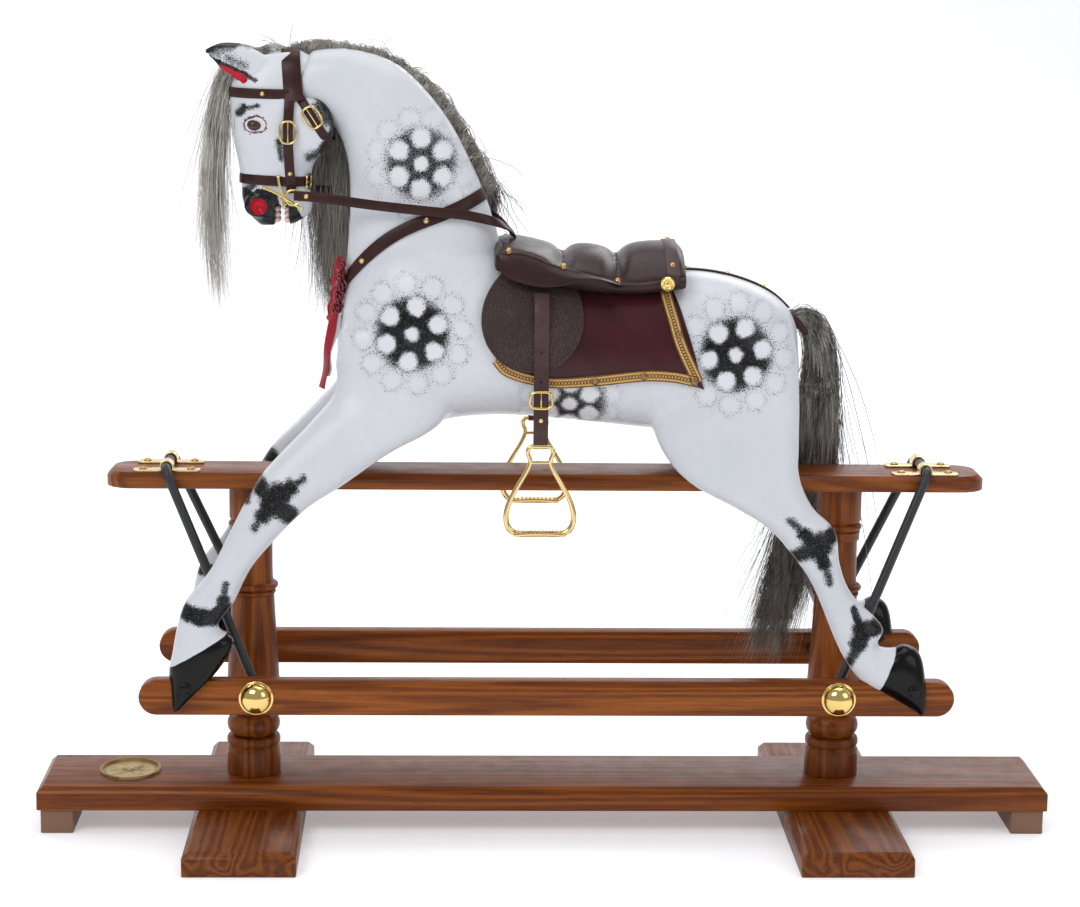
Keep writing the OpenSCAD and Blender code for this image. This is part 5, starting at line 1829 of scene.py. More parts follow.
@dataclass
class Tack:
    """Bridle, reins, breast strap, crupper and their brass fittings."""

    skin: Skin
    head: Skin
    width: float = 13.0
    thick: float = 2.4
    bit_half: float = 43.0
    leather: Leather = Leather("bridle_leather", base=(50, 26, 24), worn=(74, 44, 40))
    brass: Brass = Brass("buckle_brass", bright=(232, 206, 138), dark=(178, 134, 70), rough=0.14)
    # dark discs of painted shade for the depth of the punched openings in the straps
    hole: Gloss = Gloss("punched_hole", "dark_leather", (12, 8, 7), (20, 13, 12), 300, 0.6)
    silk: Thread = Thread("red_silk", "red_ribbon", (196, 8, 44), (104, 2, 20), 700, 0.4)
    lining: Thread = Thread("silver_silk", "red_ribbon", (222, 218, 216), (168, 160, 158), 700, 0.4)

    def build(self) -> None:
        """Makes the tack."""
        self.metal = Sketch()
        # gathers the dark discs of painted shade in the punched openings
        self.holes = Sketch()
        self.headpiece()
        self.browband()
        self.cheek_straps()
        self.throat_latch()
        self.noseband()
        place(self.metal.object("bridle_fittings", 50), "horse", self.brass, ["bridle_buckles"])
        place(self.holes.object("strap_holes", None), "horse", self.hole)
        self.bit()
        self.reins()
        self.breast_strap()
        self.crupper()
        self.rosettes()
        self.ribbons()

    def ring(self, centre: Point, up: Point, start: float, end: float, surface: Skin,
             steps: int = 48) -> tuple[np.ndarray, np.ndarray]:
        """Path round the head in a plane that holds the Y direction.

        Args:
            centre: Middle of the ring in millimetres, x and z.
            up: x and z of the direction of angle zero.
            start: First angle in degrees, positive toward the near side.
            end: Last angle in degrees.
            surface: What the path lies on.
            steps: Number of steps.

        Returns:
            Points in metres and unit normals.
        """
        middle = mm(centre[0], 0, centre[1])
        u = Vector((up[0], 0, up[1])).normalized()
        spots, normals = [], []
        for a in np.radians(np.linspace(start, end, steps + 1)):
            d = u * math.cos(a) - Vector((0, 1, 0)) * math.sin(a)
            spot, _ = surface.toward(middle + d * 0.2, middle)
            spots.append(spot)
            normals.append(d)
        return np.array(spots), np.array(normals)

    def strap(self, name: str, node: str, path: np.ndarray, normals: np.ndarray, width: float,
              closed: bool = False, lift: float = 0.2, thick: float | None = None) -> None:
        """Lays one leather strap.

        Args:
            name: Name of the piece.
            node: Node that it stands for.
            path: Points in metres.
            normals: Directions out of the surface.
            width: Width in millimetres.
            closed: Whether it is a loop.
            lift: Gap under it in millimetres.
            thick: Thickness in millimetres, or None for the usual one.
        """
        sketch = ribbon(Sketch(), path, normals, width, thick or self.thick, lift, closed)
        place(sketch.object(name, 50), "horse", self.leather, [node])

    def side_path(self, points: Sequence[Point], side: int, surface: Skin,
                  rounds: int = 6) -> tuple[np.ndarray, np.ndarray]:
        """Path on one side of the horse through points seen from the side.

        Args:
            points: x and z in millimetres.
            side: NEAR or FAR.
            surface: What the path lies on.
            rounds: Rounds of relaxing.

        Returns:
            Points in metres and unit normals.
        """
        line = side_line(points, 5)
        found = [surface.beside(x, z, side) for x, _, z in line]
        spots = smoothed(np.array([f[0] for f in found]), rounds)
        return spots, smoothed(np.array([f[1] for f in found]), rounds)

    def punch(self, spot: Vector, normal: Vector) -> None:
        """Marks where a strap is punched with a dark disc on its face: painted shade for the depth of the punch."""
        self.holes.lathe([(0, -0.5), (1.1, -0.5), (1.25, 0.06), (0.8, 0.02), (0, 0.0)],
                         spot + normal * (self.thick + 0.25) * MM, normal, 12)

    def headpiece(self) -> None:
        """Lays the wide strap over the poll."""
        path, normals = self.ring((-338, 985), (-0.1, 1), 92, -92, self.head)
        path = smoothed(path, 24)
        path[:, 0] = smoothed(path, 60)[:, 0]
        self.strap("headpiece_strap", "headpiece", path + normals * 0.003, normals, 25)

    def browband(self) -> None:
        """Lays the browband across the forehead."""
        path, normals = self.ring((-376, 993), (-1, 0.02), 128, -128, self.head)
        path = smoothed(path, 8)
        self.strap("browband_strap", "browband", path, normals, self.width)
        for k in (8, -9):
            stud(self.metal, path[k] + normals[k] * 2.5 * MM, normals[k], 2.8, 2.0)

    def cheek_straps(self) -> None:
        """Lays the two cheek straps with their buckles."""
        sketch = Sketch()
        for side in (NEAR, FAR):
            path, normals = self.side_path([(-343, 998), (-345, 966), (-346, 944), (-345, 905), (-342, 864)],
                                           side, self.head)
            normals = one_way((0, side, 0), path)
            ribbon(sketch, path, normals, self.width, self.thick, 1.6)
            ribbon(sketch, path[6:18], normals[6:18], self.width - 0.6, 1.8, 4.0)
            for z, kind in ((944, "buckle"), (889, "stud"), (972, "hole"), (962, "hole"), (916, "hole"), (926, "hole")):
                k = int(np.argmin(abs(path[:, 2] - z * MM)))
                out = Vector((0, side, 0))
                spot = Vector(path[k])
                if kind == "buckle":
                    oval(self.metal, spot + out * 5.6 * MM, out, Vector((0, 0, 1)), 21, 29, 1.5, 2.6)
                elif kind == "stud":
                    stud(self.metal, spot + out * 4 * MM, out, 3.0, 2.2)
                else:
                    self.punch(spot + out * (3.2 if 956 > z > 930 else 1.5) * MM, out)
        place(sketch.object("cheek_strap_pair", 50), "horse", self.leather, ["cheek_straps"])

    def throat_latch(self) -> None:
        """Lays the throat latch round the jaw."""
        path, normals = self.ring((-316, 966), (-0.54, 0.84), 34, 326, self.head, 64)
        path = smoothed(path, 10)
        self.strap("throat_latch_strap", "throat_latch", path, normals, self.width - 1, lift=0.6)
        for k in (13, -14):
            way = Vector(path[k + 1] - path[k - 1]).normalized()
            out = Vector(normals[k])
            oval(self.metal, Vector(path[k]) + out * 3.6 * MM, out, way, 21, 29, 1.5, 2.6)
            for step in (5, 7, -6):
                self.punch(Vector(path[k + step]) + Vector(normals[k + step]) * 0.4 * MM, Vector(normals[k + step]))

    def noseband(self) -> None:
        """Lays the noseband round the muzzle."""
        path, normals = self.ring((-364, 879), (-1, 0.04), 0, 357, self.head, 70)
        path = smoothed(path, 6, True)
        self.strap("noseband_strap", "noseband", path, normals, self.width, True)
        for side in (NEAR, FAR):
            k = closest(path, mm(-318, side * 20, 878))
            out = Vector(normals[k])
            oval(self.metal, Vector(path[k]) + out * 3.4 * MM, out, Vector((-out.y, out.x, 0)), 19, 14, 1.3, 2.8)

    def bit(self) -> None:
        """Forges the bit: mouthpiece, rings and crossed cheek bars."""
        sketch = Sketch()
        for side in (NEAR, FAR):
            y = side * self.bit_half
            bar = curve_through([(-377, y, 870), (-365, y - side, 865), (-352, y, 858), (-340, y - side, 850),
                                 (-329, y, 844)], 2)
            sketch.tube(bar, [(1.6 + 0.5 * abs(math.sin(k * 1.2))) * MM for k in range(len(bar))], 12)
            cheek = curve_through([(-359, y, 884), (-357, y, 872), (-353, y, 860), (-352, y, 846)], 3)
            sketch.tube(cheek, 1.7 * MM, 12)
            loop = [mm(-340 + 10 * math.cos(a), y, 858 + 10 * math.sin(a)) for a in np.arange(32) * math.pi / 16]
            sketch.tube(loop, 1.6 * MM, 12, True)
            for x, z in ((-377.5, 870.3), (-328.5, 843.8), (-359, 885), (-352, 845)):
                ellipsoid(sketch, (x, y, z), (2.6, 2.6, 2.6), 0, 8)
        sketch.tube([mm(-354, y, 857.8) for y in np.linspace(-self.bit_half, self.bit_half, 24)], 3 * MM, 16)
        place(sketch.object("bit_and_rings", 60), "horse", self.brass, ["bit"])

    def reins(self) -> None:
        """Hangs the reins from the bit to the saddle."""
        sketch = Sketch()
        line = [(-338, 46, 861), (-318, 51, 860), (-292, 57, 858), (-244, 63, 852), (-197, 65, 847), (-149, 61, 842),
                (-113, 55, 838), (-84, 46, 831), (-66, 35, 824), (-55, 24, 816), (-50, 14, 806)]
        for side in (NEAR, FAR):
            path = curve_through([(x, side * y, z) for x, y, z in line], 5)
            for p in path:
                spot, _ = self.skin.beside(p[0] / MM, p[2] / MM, side)
                p[1] = side * max(abs(p[1]), abs(spot.y) + 0.0012 if abs(spot.x - p[0]) < 1e-4 else 0)
            path = smoothed(path, 4)
            normals = one_way((0, side, 0), path)
            fade_in = np.clip((path[:, 0] / MM + 100) / 50, 0, 1)[:, None]
            normals = normals * (1 - 0.75 * fade_in) + np.array([[0.25, 0, 1.0]]) * fade_in * 0.75
            ribbon(sketch, path, normals, self.width, 2.2)
        place(sketch.object("rein_pair", 50), "horse", self.leather, ["reins"])
        studs = Sketch()
        for side in (NEAR, FAR):
            stud(studs, mm(-322, side * 52.6, 860.5), (0, side, 0), 3.2, 2.2)
        place(studs.object("rein_studs", 50), "horse", self.brass)

    def breast_strap(self) -> None:
        """Lays the strap from the chest over the neck, with its studs."""
        near = [(-276, 733), (-270, 745), (-262, 757), (-237, 786), (-209, 809), (-178, 825), (-144, 837),
                (-111, 851), (-96, 861)]
        line = side_line(near, 6)
        sides = {}
        for side in (NEAR, FAR):
            sides[side] = [self.skin.toward(mm(x, side * 300, z), mm(x, 0, z))[0] for x, _, z in line]
        crest = self.skin.toward(mm(-88, 0, 1000), mm(-88, 0, 700))[0]
        chest = self.skin.toward(mm(-420, 0, 722), mm(-200, 0, 722))[0]
        loop = [chest, *sides[NEAR], crest, *sides[FAR][::-1]]
        path = np.array([tuple(p) for p in loop] + [tuple(chest)])
        path = smoothed(resample(path, 0.006)[:-1], 10, True)
        found = [self.skin.touch(p) for p in path]
        path = np.array([f[0] + f[1] * 0.0012 for f in found])
        normals = smoothed(np.array([f[1] for f in found]), 6, True)
        path = smoothed(path, 4, True)
        self.strap("breast_strap_loop", "breast_strap", path, normals, 17, True)
        studs = Sketch()
        for side in (NEAR, FAR):
            for x, z in ((-247, 776), (-165, 829)):
                k = closest(path, self.skin.beside(x, z, side)[0])
                stud(studs, path[k] + normals[k] * 2.6 * MM, normals[k], 3.6, 2.8)
        place(studs.object("breast_studs", 50), "horse", self.brass)

    def crupper(self) -> None:
        """Lays the crupper along the croup, with the padded loop round the dock."""
        line = [self.skin.toward(mm(x, 0, 1000), mm(x, 0, 500))[0] for x in np.linspace(170, 322, 32)]
        path = smoothed(np.array([tuple(p) for p in line]), 6)
        normals = one_way((0, 0, 1), path)
        wide = np.interp(path[:, 0] / MM, [170, 285, 322], [10, 11, 17])
        sketch = ribbon(Sketch(), path, normals, wide, 2.6, 0.4)
        hub = mm(335, 0, 692)
        tilt = Matrix.Rotation(math.radians(50), 3, "Y")
        loop = [hub + tilt @ mm(17 * math.cos(a), 17 * math.sin(a), 0) for a in np.arange(40) * math.pi / 20]
        sketch.tube(loop, 4.6 * MM, 14, True)
        place(sketch.object("crupper_and_loop", 50), "horse", self.leather, ["crupper_strap"])
        studs = Sketch()
        for x in (186, 240, 290):
            k = int(np.argmin(abs(path[:, 0] - x * MM)))
            stud(studs, path[k] + normals[k] * 2.9 * MM, normals[k], 3.6, 2.8)
        place(studs.object("crupper_studs", 50), "horse", self.brass)

    def rosettes(self) -> None:
        """Gathers the ribbon flowers on the chest."""
        sketch = Sketch()
        for z, size in ((759, 17), (741, 20), (719, 18), (701, 19)):
            spot = self.skin.toward(mm(-420, 0, z), mm(-200, 0, z))[0] + mm(-3, -14, 0)
            out = Vector((-0.86, -0.5, 0.08)).normalized()
            side = out.cross(Vector((0, 0, 1))).normalized()
            up = side.cross(out)
            layers = ((1.0, 1.0, 7), (0.78, 3.6, 6), (0.55, 6.0, 5), (0.32, 8.0, 4))
            for layer, (reach, rise, folds) in enumerate(layers):
                rings = []
                for t, cup in ((0.0, 0.0), (0.35, 0.2), (0.7, 1.2), (0.92, 2.6), (1.0, 3.6), (0.95, 3.2),
                               (0.7, 0.6), (0.35, -0.6), (0.0, -1.0)):
                    ring = []
                    for a in np.arange(56) * 2 * math.pi / 56:
                        wave = math.sin(folds * a + layer * 1.3 + z) * t
                        r = size * reach * t * (1 + 0.14 * wave) + 0.05
                        h = rise + cup * reach + 1.9 * reach * math.cos(folds * a + layer * 1.3 + z) * t
                        ring.append(spot + side * r * math.cos(a) * MM + up * r * math.sin(a) * MM + out * h * MM)
                    rings.append(ring)
                sketch.loft(rings)
        place(sketch.object("ribbon_rosettes", 50), "horse", self.silk, ["rosettes"])

    def ribbons(self) -> None:
        """Hangs the two tails of the ribbon."""
        for name, finish, nodes, shift, low in (("ribbon_tail_red", self.silk, ["ribbon"], 0, 606),
                                                ("ribbon_tail_silver", self.lining, [], 5, 628)):
            path = curve_through([(-286 + shift, -34, 704), (-290 + shift, -43, 682), (-295 + 0.5 * shift, -46, 655),
                                  (-297 + shift, -50, 630), (-302 + shift, -49, low)], 4)
            swing = np.linspace(0, 5, len(path))
            normals = np.stack([-0.7 + 0.3 * np.sin(swing), -0.7 - 0.2 * np.cos(swing), np.zeros(len(path))], 1)
            piece = ribbon(Sketch(), path, normals, 13, 0.9).object(name, 50)
            place(piece, "horse", finish, nodes)


# ---------------------------------------------------------------- saddle

@dataclass
class Saddle:
    """Padded seat, skirts, flaps, cloth with braid, and their studs."""

    skin: Skin
    barrel: Barrel
    ridge: tuple = ((-76, 797), (-68, 803), (-51, 805), (-34, 803), (-17, 800), (0, 796), (10, 791), (18, 785),
                    (26, 791), (36, 795), (50, 796), (66, 794), (80, 789), (89, 784), (98, 791), (110, 797),
                    (128, 800), (146, 801), (160, 801), (170, 799), (178, 795))
    edge: tuple = ((-76, 790), (-68, 795), (-57, 796), (-40, 796), (-20, 790), (0, 781), (16, 776), (34, 771),
                   (51, 767), (70, 762), (88, 757), (102, 756), (120, 757), (135, 759), (160, 762), (178, 764))
    channels: tuple = (18.0, 89.0)
    half: float = 93.0
    seat_voxel: float = 4.2
    swell_cap: float = 6.0
    swell_frames: int = 20
    face_share: float = 0.99
    flap_centre: tuple = (-25, 705)
    flap_radius: float = 67.0
    strap_x: float = -13.0
    strap_y: float = 116.1
    hem: tuple = ((-71, 647), (-60, 634), (-45, 627), (-31, 623), (4, 617), (57, 620), (121, 627), (160, 626),
                  (186, 621), (202, 616))
    back_edge: tuple = ((150, 790), (154, 760), (160, 730), (168, 703), (178, 672), (189, 646), (202, 616))
    seat_leather: Leather = Leather("seat_leather", base=(46, 26, 27), worn=(66, 44, 43), rough=0.3, grain=900,
                                    depth=0.00025)
    strap_leather: Leather = Leather("stirrup_leather", base=(66, 46, 46), worn=(94, 72, 72))
    flap_leather: PebbledLeather = PebbledLeather("flap_leather")
    cloth: MaroonCloth = MaroonCloth("saddle_cloth_maroon")
    gold: Thread = Thread("gold_braid", light=(206, 146, 58), dark=(128, 76, 22))
    gold_dark: Thread = Thread("gold_braid_edge", light=(140, 88, 34), dark=(84, 48, 16))
    thread: Thread = Thread("seat_thread", "dark_leather", (70, 48, 44), (34, 22, 20), 900)
    brass: Brass = Brass("stud_brass", bright=(206, 160, 104), dark=(140, 94, 54), rough=0.22, tarnish=0.5)
    old_brass: Brass = Brass("old_brass", "dull_brass", (150, 124, 84), (84, 66, 42), 0.34, 0.8)
    bright: Brass = Brass("concho_brass", bright=(240, 210, 130), dark=(190, 140, 66), rough=0.12)
    iron: Brass = Brass("stirrup_brass", bright=(238, 210, 146), dark=(186, 140, 78), rough=0.12)
    # dark discs of painted shade for the depth of the punched openings in the stirrup leathers
    hole: Gloss = Gloss("stirrup_hole", "dark_leather", (10, 7, 7), (18, 12, 12), 300, 0.6)

    def __post_init__(self) -> None:
        """Runs smooth curves through the lines of the seat and the hem."""
        self.fine = {line: smooth_rows(line, 4) for line in (self.ridge, self.edge, self.hem)}

    def build(self) -> None:
        """Makes the saddle."""
        self.studs = Sketch()
        self.saddle_cloth()
        self.braid()
        self.flaps()
        self.skirts()
        self.seat()
        place(self.studs.object("saddle_stud_set", 50), "horse", self.brass, ["saddle_studs"])
        for side, word in ((NEAR, "near"), (FAR, "far")):
            self.stirrup(side, word)

    def level(self, line: tuple, x: float) -> float:
        """Height of a smooth line at a distance along the horse."""
        fine = self.fine[line]
        return float(np.interp(x, fine[:, 0], fine[:, 1]))

    def on_side(self, x: float, z: float, side: int, off: float) -> tuple[Vector, Vector]:
        """Point over the barrel at a height, seen from the side, in millimetres, with its normal."""
        angle = -side * self.barrel.angle_at(x, z)
        return self.barrel.point(x, angle, off), self.barrel.normal(x, angle)

    def patch(self, name: str, grid: list[list[tuple[Vector, Vector]]], thick: float, closed: bool = False,
              smooth: float | None = 40) -> bpy.types.Object:
        """Closed sheet from a grid of points and normals.

        Args:
            name: Name of the piece.
            grid: Rows of points of the lower face with their normals, in metres.
            thick: Thickness in millimetres.
            closed: Whether each row is a loop.
            smooth: Smoothing angle in degrees.

        Returns:
            The piece.
        """
        sketch = Sketch()
        rows, cols = len(grid), len(grid[0])
        points = [p + n * h * MM for h in (0.0, thick) for row in grid for p, n in row]
        total, across = rows * cols, cols if closed else cols - 1
        faces = []
        for i in range(rows - 1):
            for j in range(across):
                a, b = i * cols + j, i * cols + (j + 1) % cols
                faces += [(a, a + cols, b + cols, b), (total + a, total + b, total + b + cols, total + a + cols)]
        for j in range(across):
            b = (j + 1) % cols
            faces += [(j, b, total + b, total + j)]
            a, c = (rows - 1) * cols + j, (rows - 1) * cols + b
            faces += [(c, a, total + a, total + c)]
        if not closed:
            for i in range(rows - 1):
                a, b = i * cols, (i + 1) * cols
                faces += [(b, a, total + a, total + b), (a + cols - 1, b + cols - 1, total + b + cols - 1,
                                                        total + a + cols - 1)]
        sketch.add(points, faces)
        return sketch.object(name, smooth)

    def saddle_cloth(self) -> None:
        """Lays the cloth over the barrel, with soft waves toward the hem."""
        back = smooth_rows(self.back_edge, 6)
        grid = []
        for u in np.linspace(0, 1, 70):
            row = []
            x_low = -71 + 273 * u
            low = self.barrel.angle_at(x_low, self.level(self.hem, x_low))
            for s in np.linspace(-1, 1, 97):
                t = abs(s)
                x_front = -62 - 10 * t
                x_back = float(np.interp(-(790 - 174 * t), -back[:, 1], back[:, 0]))
                x = x_front + (x_back - x_front) * u
                wave = 0.9 * math.sin(u * 23 + s * 3) * t ** 3 + 0.5 * math.sin(u * 41 - s * 5) * t ** 4
                row.append((self.barrel.point(x, s * low, 0.9 + max(wave, -0.2)), self.barrel.normal(x, s * low)))
            grid.append(row)
        cloth = self.patch("saddle_cloth_sheet", grid, 1.4)
        place(cloth, "horse", self.cloth, ["saddle_cloth"])

    def braid_paths(self, side: int) -> list[tuple[np.ndarray, np.ndarray]]:
        """Middle lines of the braid on one side with their normals: along the hem, then up the back edge."""
        hem = [(x, z + 7) for x, z in self.hem[:-1]] + [(193, 626.5)]
        up = [(193, 626.5), *((x - 7.5, z) for x, z in self.back_edge[1:-2][::-1])]
        parts = []
        for points in (hem, up):
            line = side_line(points, 3)
            found = [self.on_side(x, z, side, 3.0) for x, _, z in line if z < 757]
            parts.append((np.array([f[0] for f in found]), np.array([f[1] for f in found])))
        return parts

    def braid(self) -> None:
        """Sews the braid on: a flat band, two corded edges and a row of raised scrolls."""
        band, cords = Sketch(), Sketch()
        for side in (NEAR, FAR):
            for path, normals in self.braid_paths(side):
                p = resample(path, 0.0015)
                near = [closest(path, q) for q in p]
                n = smoothed(normals[near], 6)
                ribbon(band, p, n, 14.4, 1.3)
                sides = np.cross(ways_along(p), n)
                for lateral in (-6.4, 6.4):
                    cords.tube(p + sides * lateral * MM + n * 1.25 * MM, 0.95 * MM, 6)
                turn = np.arange(len(p)) * 1.5 / 8.5 * 2 * math.pi
                for phase in (0.0, math.pi):
                    wave = sides * (np.sin(turn + phase) * 3.4)[:, None] + n * (1.5 + 0.5 * np.cos(turn * 2))[:, None]
                    cords.tube(p + wave * MM, 0.7 * MM, 6)
        place(band.object("braid_band", 40), "horse", self.gold, ["cloth_braid"])
        place(cords.object("braid_edges", 60), "horse", self.gold_dark)
        old = Sketch()
        for side in (NEAR, FAR):
            for x, z in ((58, 627), (122, 634), (188, 627), (168, 687)):
                spot, out = self.on_side(x - 1 if z > 680 else x, z, side, 4.4)
                stud(old, spot + out * 0.8 * MM, out, 4.8, 2.8)
            spot, out = mm(151, side * (self.half + 7.5), 754), Vector((0, side, -0.1)).normalized()
            ring = Sketch()
            ring.lathe([(0, -2), (9.6, -2), (9.8, 0), (8.6, 1.6), (6.4, 1.4), (5.6, 0.6), (5.0, 0.6), (4.6, 1.6),
                        (3, 2.8), (0, 3.2)], spot, out, 40)
            place(ring.object("near_concho" if side == NEAR else "far_concho", 40), "horse", self.bright)
        place(old.object("cloth_studs", 50), "horse", self.old_brass)

    def flaps(self) -> None:
        """Cuts the round flaps, slightly domed, with a bevelled and creased edge."""
        for side, word in ((NEAR, "near"), (FAR, "far")):
            grid = []
            for r in (0.5, 10, 20, 30, 40, 48, 55, 60, 61.5, 62.2, 63, 65, 66.4, self.flap_radius):
                row = []
                for a in np.radians(np.arange(0, 360, 4) * side):
                    x, z = self.flap_centre[0] + r * math.cos(a), self.flap_centre[1] + r * math.sin(a)
                    off = 5.2 + 2.2 * (1 - (r / self.flap_radius) ** 2) - (0.5 if 61 < r < 62.6 else 0)
                    row.append(self.on_side(x, min(z, 766), side, off))
                grid.append(row)
            piece = self.patch(f"{word}_flap_disc", grid, 3.0, True)
            place(piece, "horse", self.flap_leather, [f"{word}_flap"])

    def skirts(self) -> None:
        """Hangs the small skirts from under the edge of the seat."""
        low = ((-72, 788), (-71, 778), (-66, 769), (-56, 760.5), (-41, 755), (-24, 751), (-8, 749.5), (10, 751),
               (24, 754), (40, 758), (57, 760), (75, 759.5), (90, 758))
        lows = smooth_rows(low, 5)
        for side, word in ((NEAR, "near"), (FAR, "far")):
            grid = []
            for x, z in lows:
                x_top = float(np.interp(x, (-72, -60, 90), (-70, -58, 88)))
                top = self.level(self.edge, x_top) - 3
                row = []
                for t in np.linspace(0, 1, 12):
                    zz = top + (min(z, top - 1) - top) * t
                    y = self.half - 5 + 16 * math.sin(t * math.pi / 2) ** 0.8 + 1.5 * math.sin(t * 3)
                    row.append((mm(x_top + (x - x_top) * t, side * y, zz),
                                Vector((0, side * 0.92, 0.38 * (1 - t))).normalized()))
                grid.append(row if side == FAR else row[::-1])
            piece = self.patch(f"{word}_skirt_panel", grid, 3.0)
            place(piece, "horse", self.seat_leather, [f"{word}_skirt"])

    def dip(self, x: float, s: float) -> float:
        """Depth of the tufted channels, in millimetres, at a place of the seat."""
        depth = 0.0
        for c in self.channels:
            slant = c - 4 * abs(s)
            wide = 5.5 + 7.5 * abs(s)
            depth += math.exp(-((x - slant) / wide) ** 2) * (2.5 + 7.5 * abs(s) ** 1.6)
        return depth

    def seat(self) -> None:
        """Stuffs the seat: a padded shell that is blown up against its channels, then stitched."""
        rings = []
        for x in np.linspace(-75, 177, 85):
            top, side_z = self.level(self.ridge, x), self.level(self.edge, x)
            ease = min(1.0, (min(x + 76, 178 - x) + 1) / 12) ** 0.5
            ring = []
            for s in np.linspace(-1, 1, 45):
                z = top - (top - side_z) * abs(s) ** 2.3 - self.dip(x, s) - (1 - ease) * 8
                ring.append(mm(x, s * self.half * (0.97 + 0.03 * ease), z))
            floor = []
            for s in np.linspace(1, -1, 31):
                angle = -s * 48
                p = self.barrel.point(x, angle, 5.5)
                z = p.z / MM if abs(s) < 0.85 else p.z / MM * (1 - (abs(s) - 0.85) / 0.15) + \
                    (side_z - 11) * (abs(s) - 0.85) / 0.15
                z = min(max(z, side_z - 34), side_z - 9)
                floor.append(mm(x, s * self.half * 0.985, z))
            rings.append(ring + floor)
        seat = Sketch().loft(rings).object("seat_pad", None)
        apply_modifier(seat, "REMESH", mode="VOXEL", voxel_size=self.seat_voxel * MM)
        before = np.array([v.co for v in seat.data.vertices])
        self.inflate(seat, before)
        apply_modifier(seat, "SUBSURF", levels=1, render_levels=1)
        bpy.ops.object.shade_smooth()
        place(seat, "horse", self.seat_leather, ["saddle_seat"])
        self.seat_trim(seat)

    def inflate(self, seat: bpy.types.Object, before: np.ndarray) -> None:
        """Blows the pad up with the cloth solver and holds it near its cut shape.

        Args:
            seat: The pad.
            before: Its points before, in metres.
        """
        group = seat.vertex_groups.new(name="held")
        for i, p in enumerate(before):
            x, s, z = p[0] / MM, p[1] / MM / self.half, p[2] / MM
            top = self.level(self.ridge, x) - (self.level(self.ridge, x) - self.level(self.edge, x)) * abs(s) ** 2.3
            if z < top - 9 or self.dip(x, s) > 5.5 or abs(s) > 0.95:
                group.add([i], 1.0, "REPLACE")
        cloth = seat.modifiers.new("pad", "CLOTH")
        cloth.settings.vertex_group_mass = "held"
        cloth.settings.use_pressure = True
        cloth.settings.uniform_pressure_force = 4
        cloth.settings.effector_weights.gravity = 0
        cloth.settings.quality = 5
        cloth.settings.tension_stiffness = cloth.settings.compression_stiffness = 12
        cloth.point_cache.frame_start, cloth.point_cache.frame_end = 1, self.swell_frames
        scene = bpy.context.scene
        for number in range(1, self.swell_frames + 1):
            scene.frame_set(number)
        bpy.context.view_layer.objects.active = seat
        bpy.ops.object.modifier_apply(modifier="pad")
        scene.frame_set(1)
        after = np.array([v.co for v in seat.data.vertices])
        move = after - before
        size = np.linalg.norm(move, axis=1)[:, None]
        move *= np.minimum(1, self.swell_cap * MM / np.maximum(size, 1e-9))
        LOG.info("seat_pad blown up by %.1f mm on average, at most %.1f", size.mean() / MM, size.max() / MM)
        seat.data.vertices.foreach_set("co", (before + move).ravel())
        seat.vertex_groups.clear()

    def seat_trim(self, seat: bpy.types.Object) -> None:
        """Adds piping, channel stitches, the cantle strip and the studs of the seat."""
        tree = Skin([seat])
        trim, threads = Sketch(), Sketch()
        for side in (NEAR, FAR):
            line = [mm(x, side * (self.half + 0.6), self.level(self.edge, x) - 3.5) for x in np.linspace(-74, 176, 84)]
            trim.tube(line, 1.9 * MM, 10)
        for c in self.channels:
            rows = []
            for s in np.linspace(-0.93, 0.93, 60):
                x, y = c - 4 * abs(s), s * self.half
                rows.append(tree.toward(mm(x, y, 900), mm(x, y, 700))[0])
            line = smoothed(np.array(rows), 3)
            foot, crown = np.array((0, 0, 0.0003)), np.array((0, 0, 0.0009))
            for a, b in zip(line[0:-1:2], line[1::2]):
                threads.tube([a + foot, (a + b) / 2 + crown, b + foot], 0.5 * MM, 6)
        over = [tree.toward(mm(159, s * 94, 900), mm(159, s * 94, 700))[0]
                for s in np.linspace(-1, 1, 72) if abs(s) < 0.95]
        ends = {side: [mm(159 - (770 - z) * 0.13, side * (self.half + 3.5), z) for z in (768, 762, 756)]
                for side in (NEAR, FAR)}
        path = np.array([tuple(p) for p in ends[NEAR][::-1] + over + ends[FAR]])
        path = smoothed(resample(path, 0.003), 12)
        turn = np.arctan2(path[:, 1] ** 3 * 8e5, np.full(len(path), 60.0))
        normals = np.stack([np.zeros(len(path)), np.sin(turn), np.cos(turn)], 1)
        ribbon(trim, path, normals, 17, 1.8, 0.2)
        place(trim.object("seat_piping_and_strip", 50), "horse", self.strap_leather)
        place(threads.object("seat_stitches", None), "horse", self.thread)
        for side in (NEAR, FAR):
            for x in (-57, 15, 86):
                spot = mm(x, side * (self.half + 1.4), self.level(self.edge, x) - 0.5)
                stud(self.studs, spot, (0, side, 0.35), 4.0, 2.8)
            k = closest(path, mm(159, side * 84, 784))
            stud(self.studs, path[k] + normals[k] * 2 * MM, normals[k], 4.0, 2.8)
        stud(self.studs, path[len(path) // 2 + 6] + normals[len(path) // 2] * 2 * MM, (0, 0, 1), 4.0, 2.8)

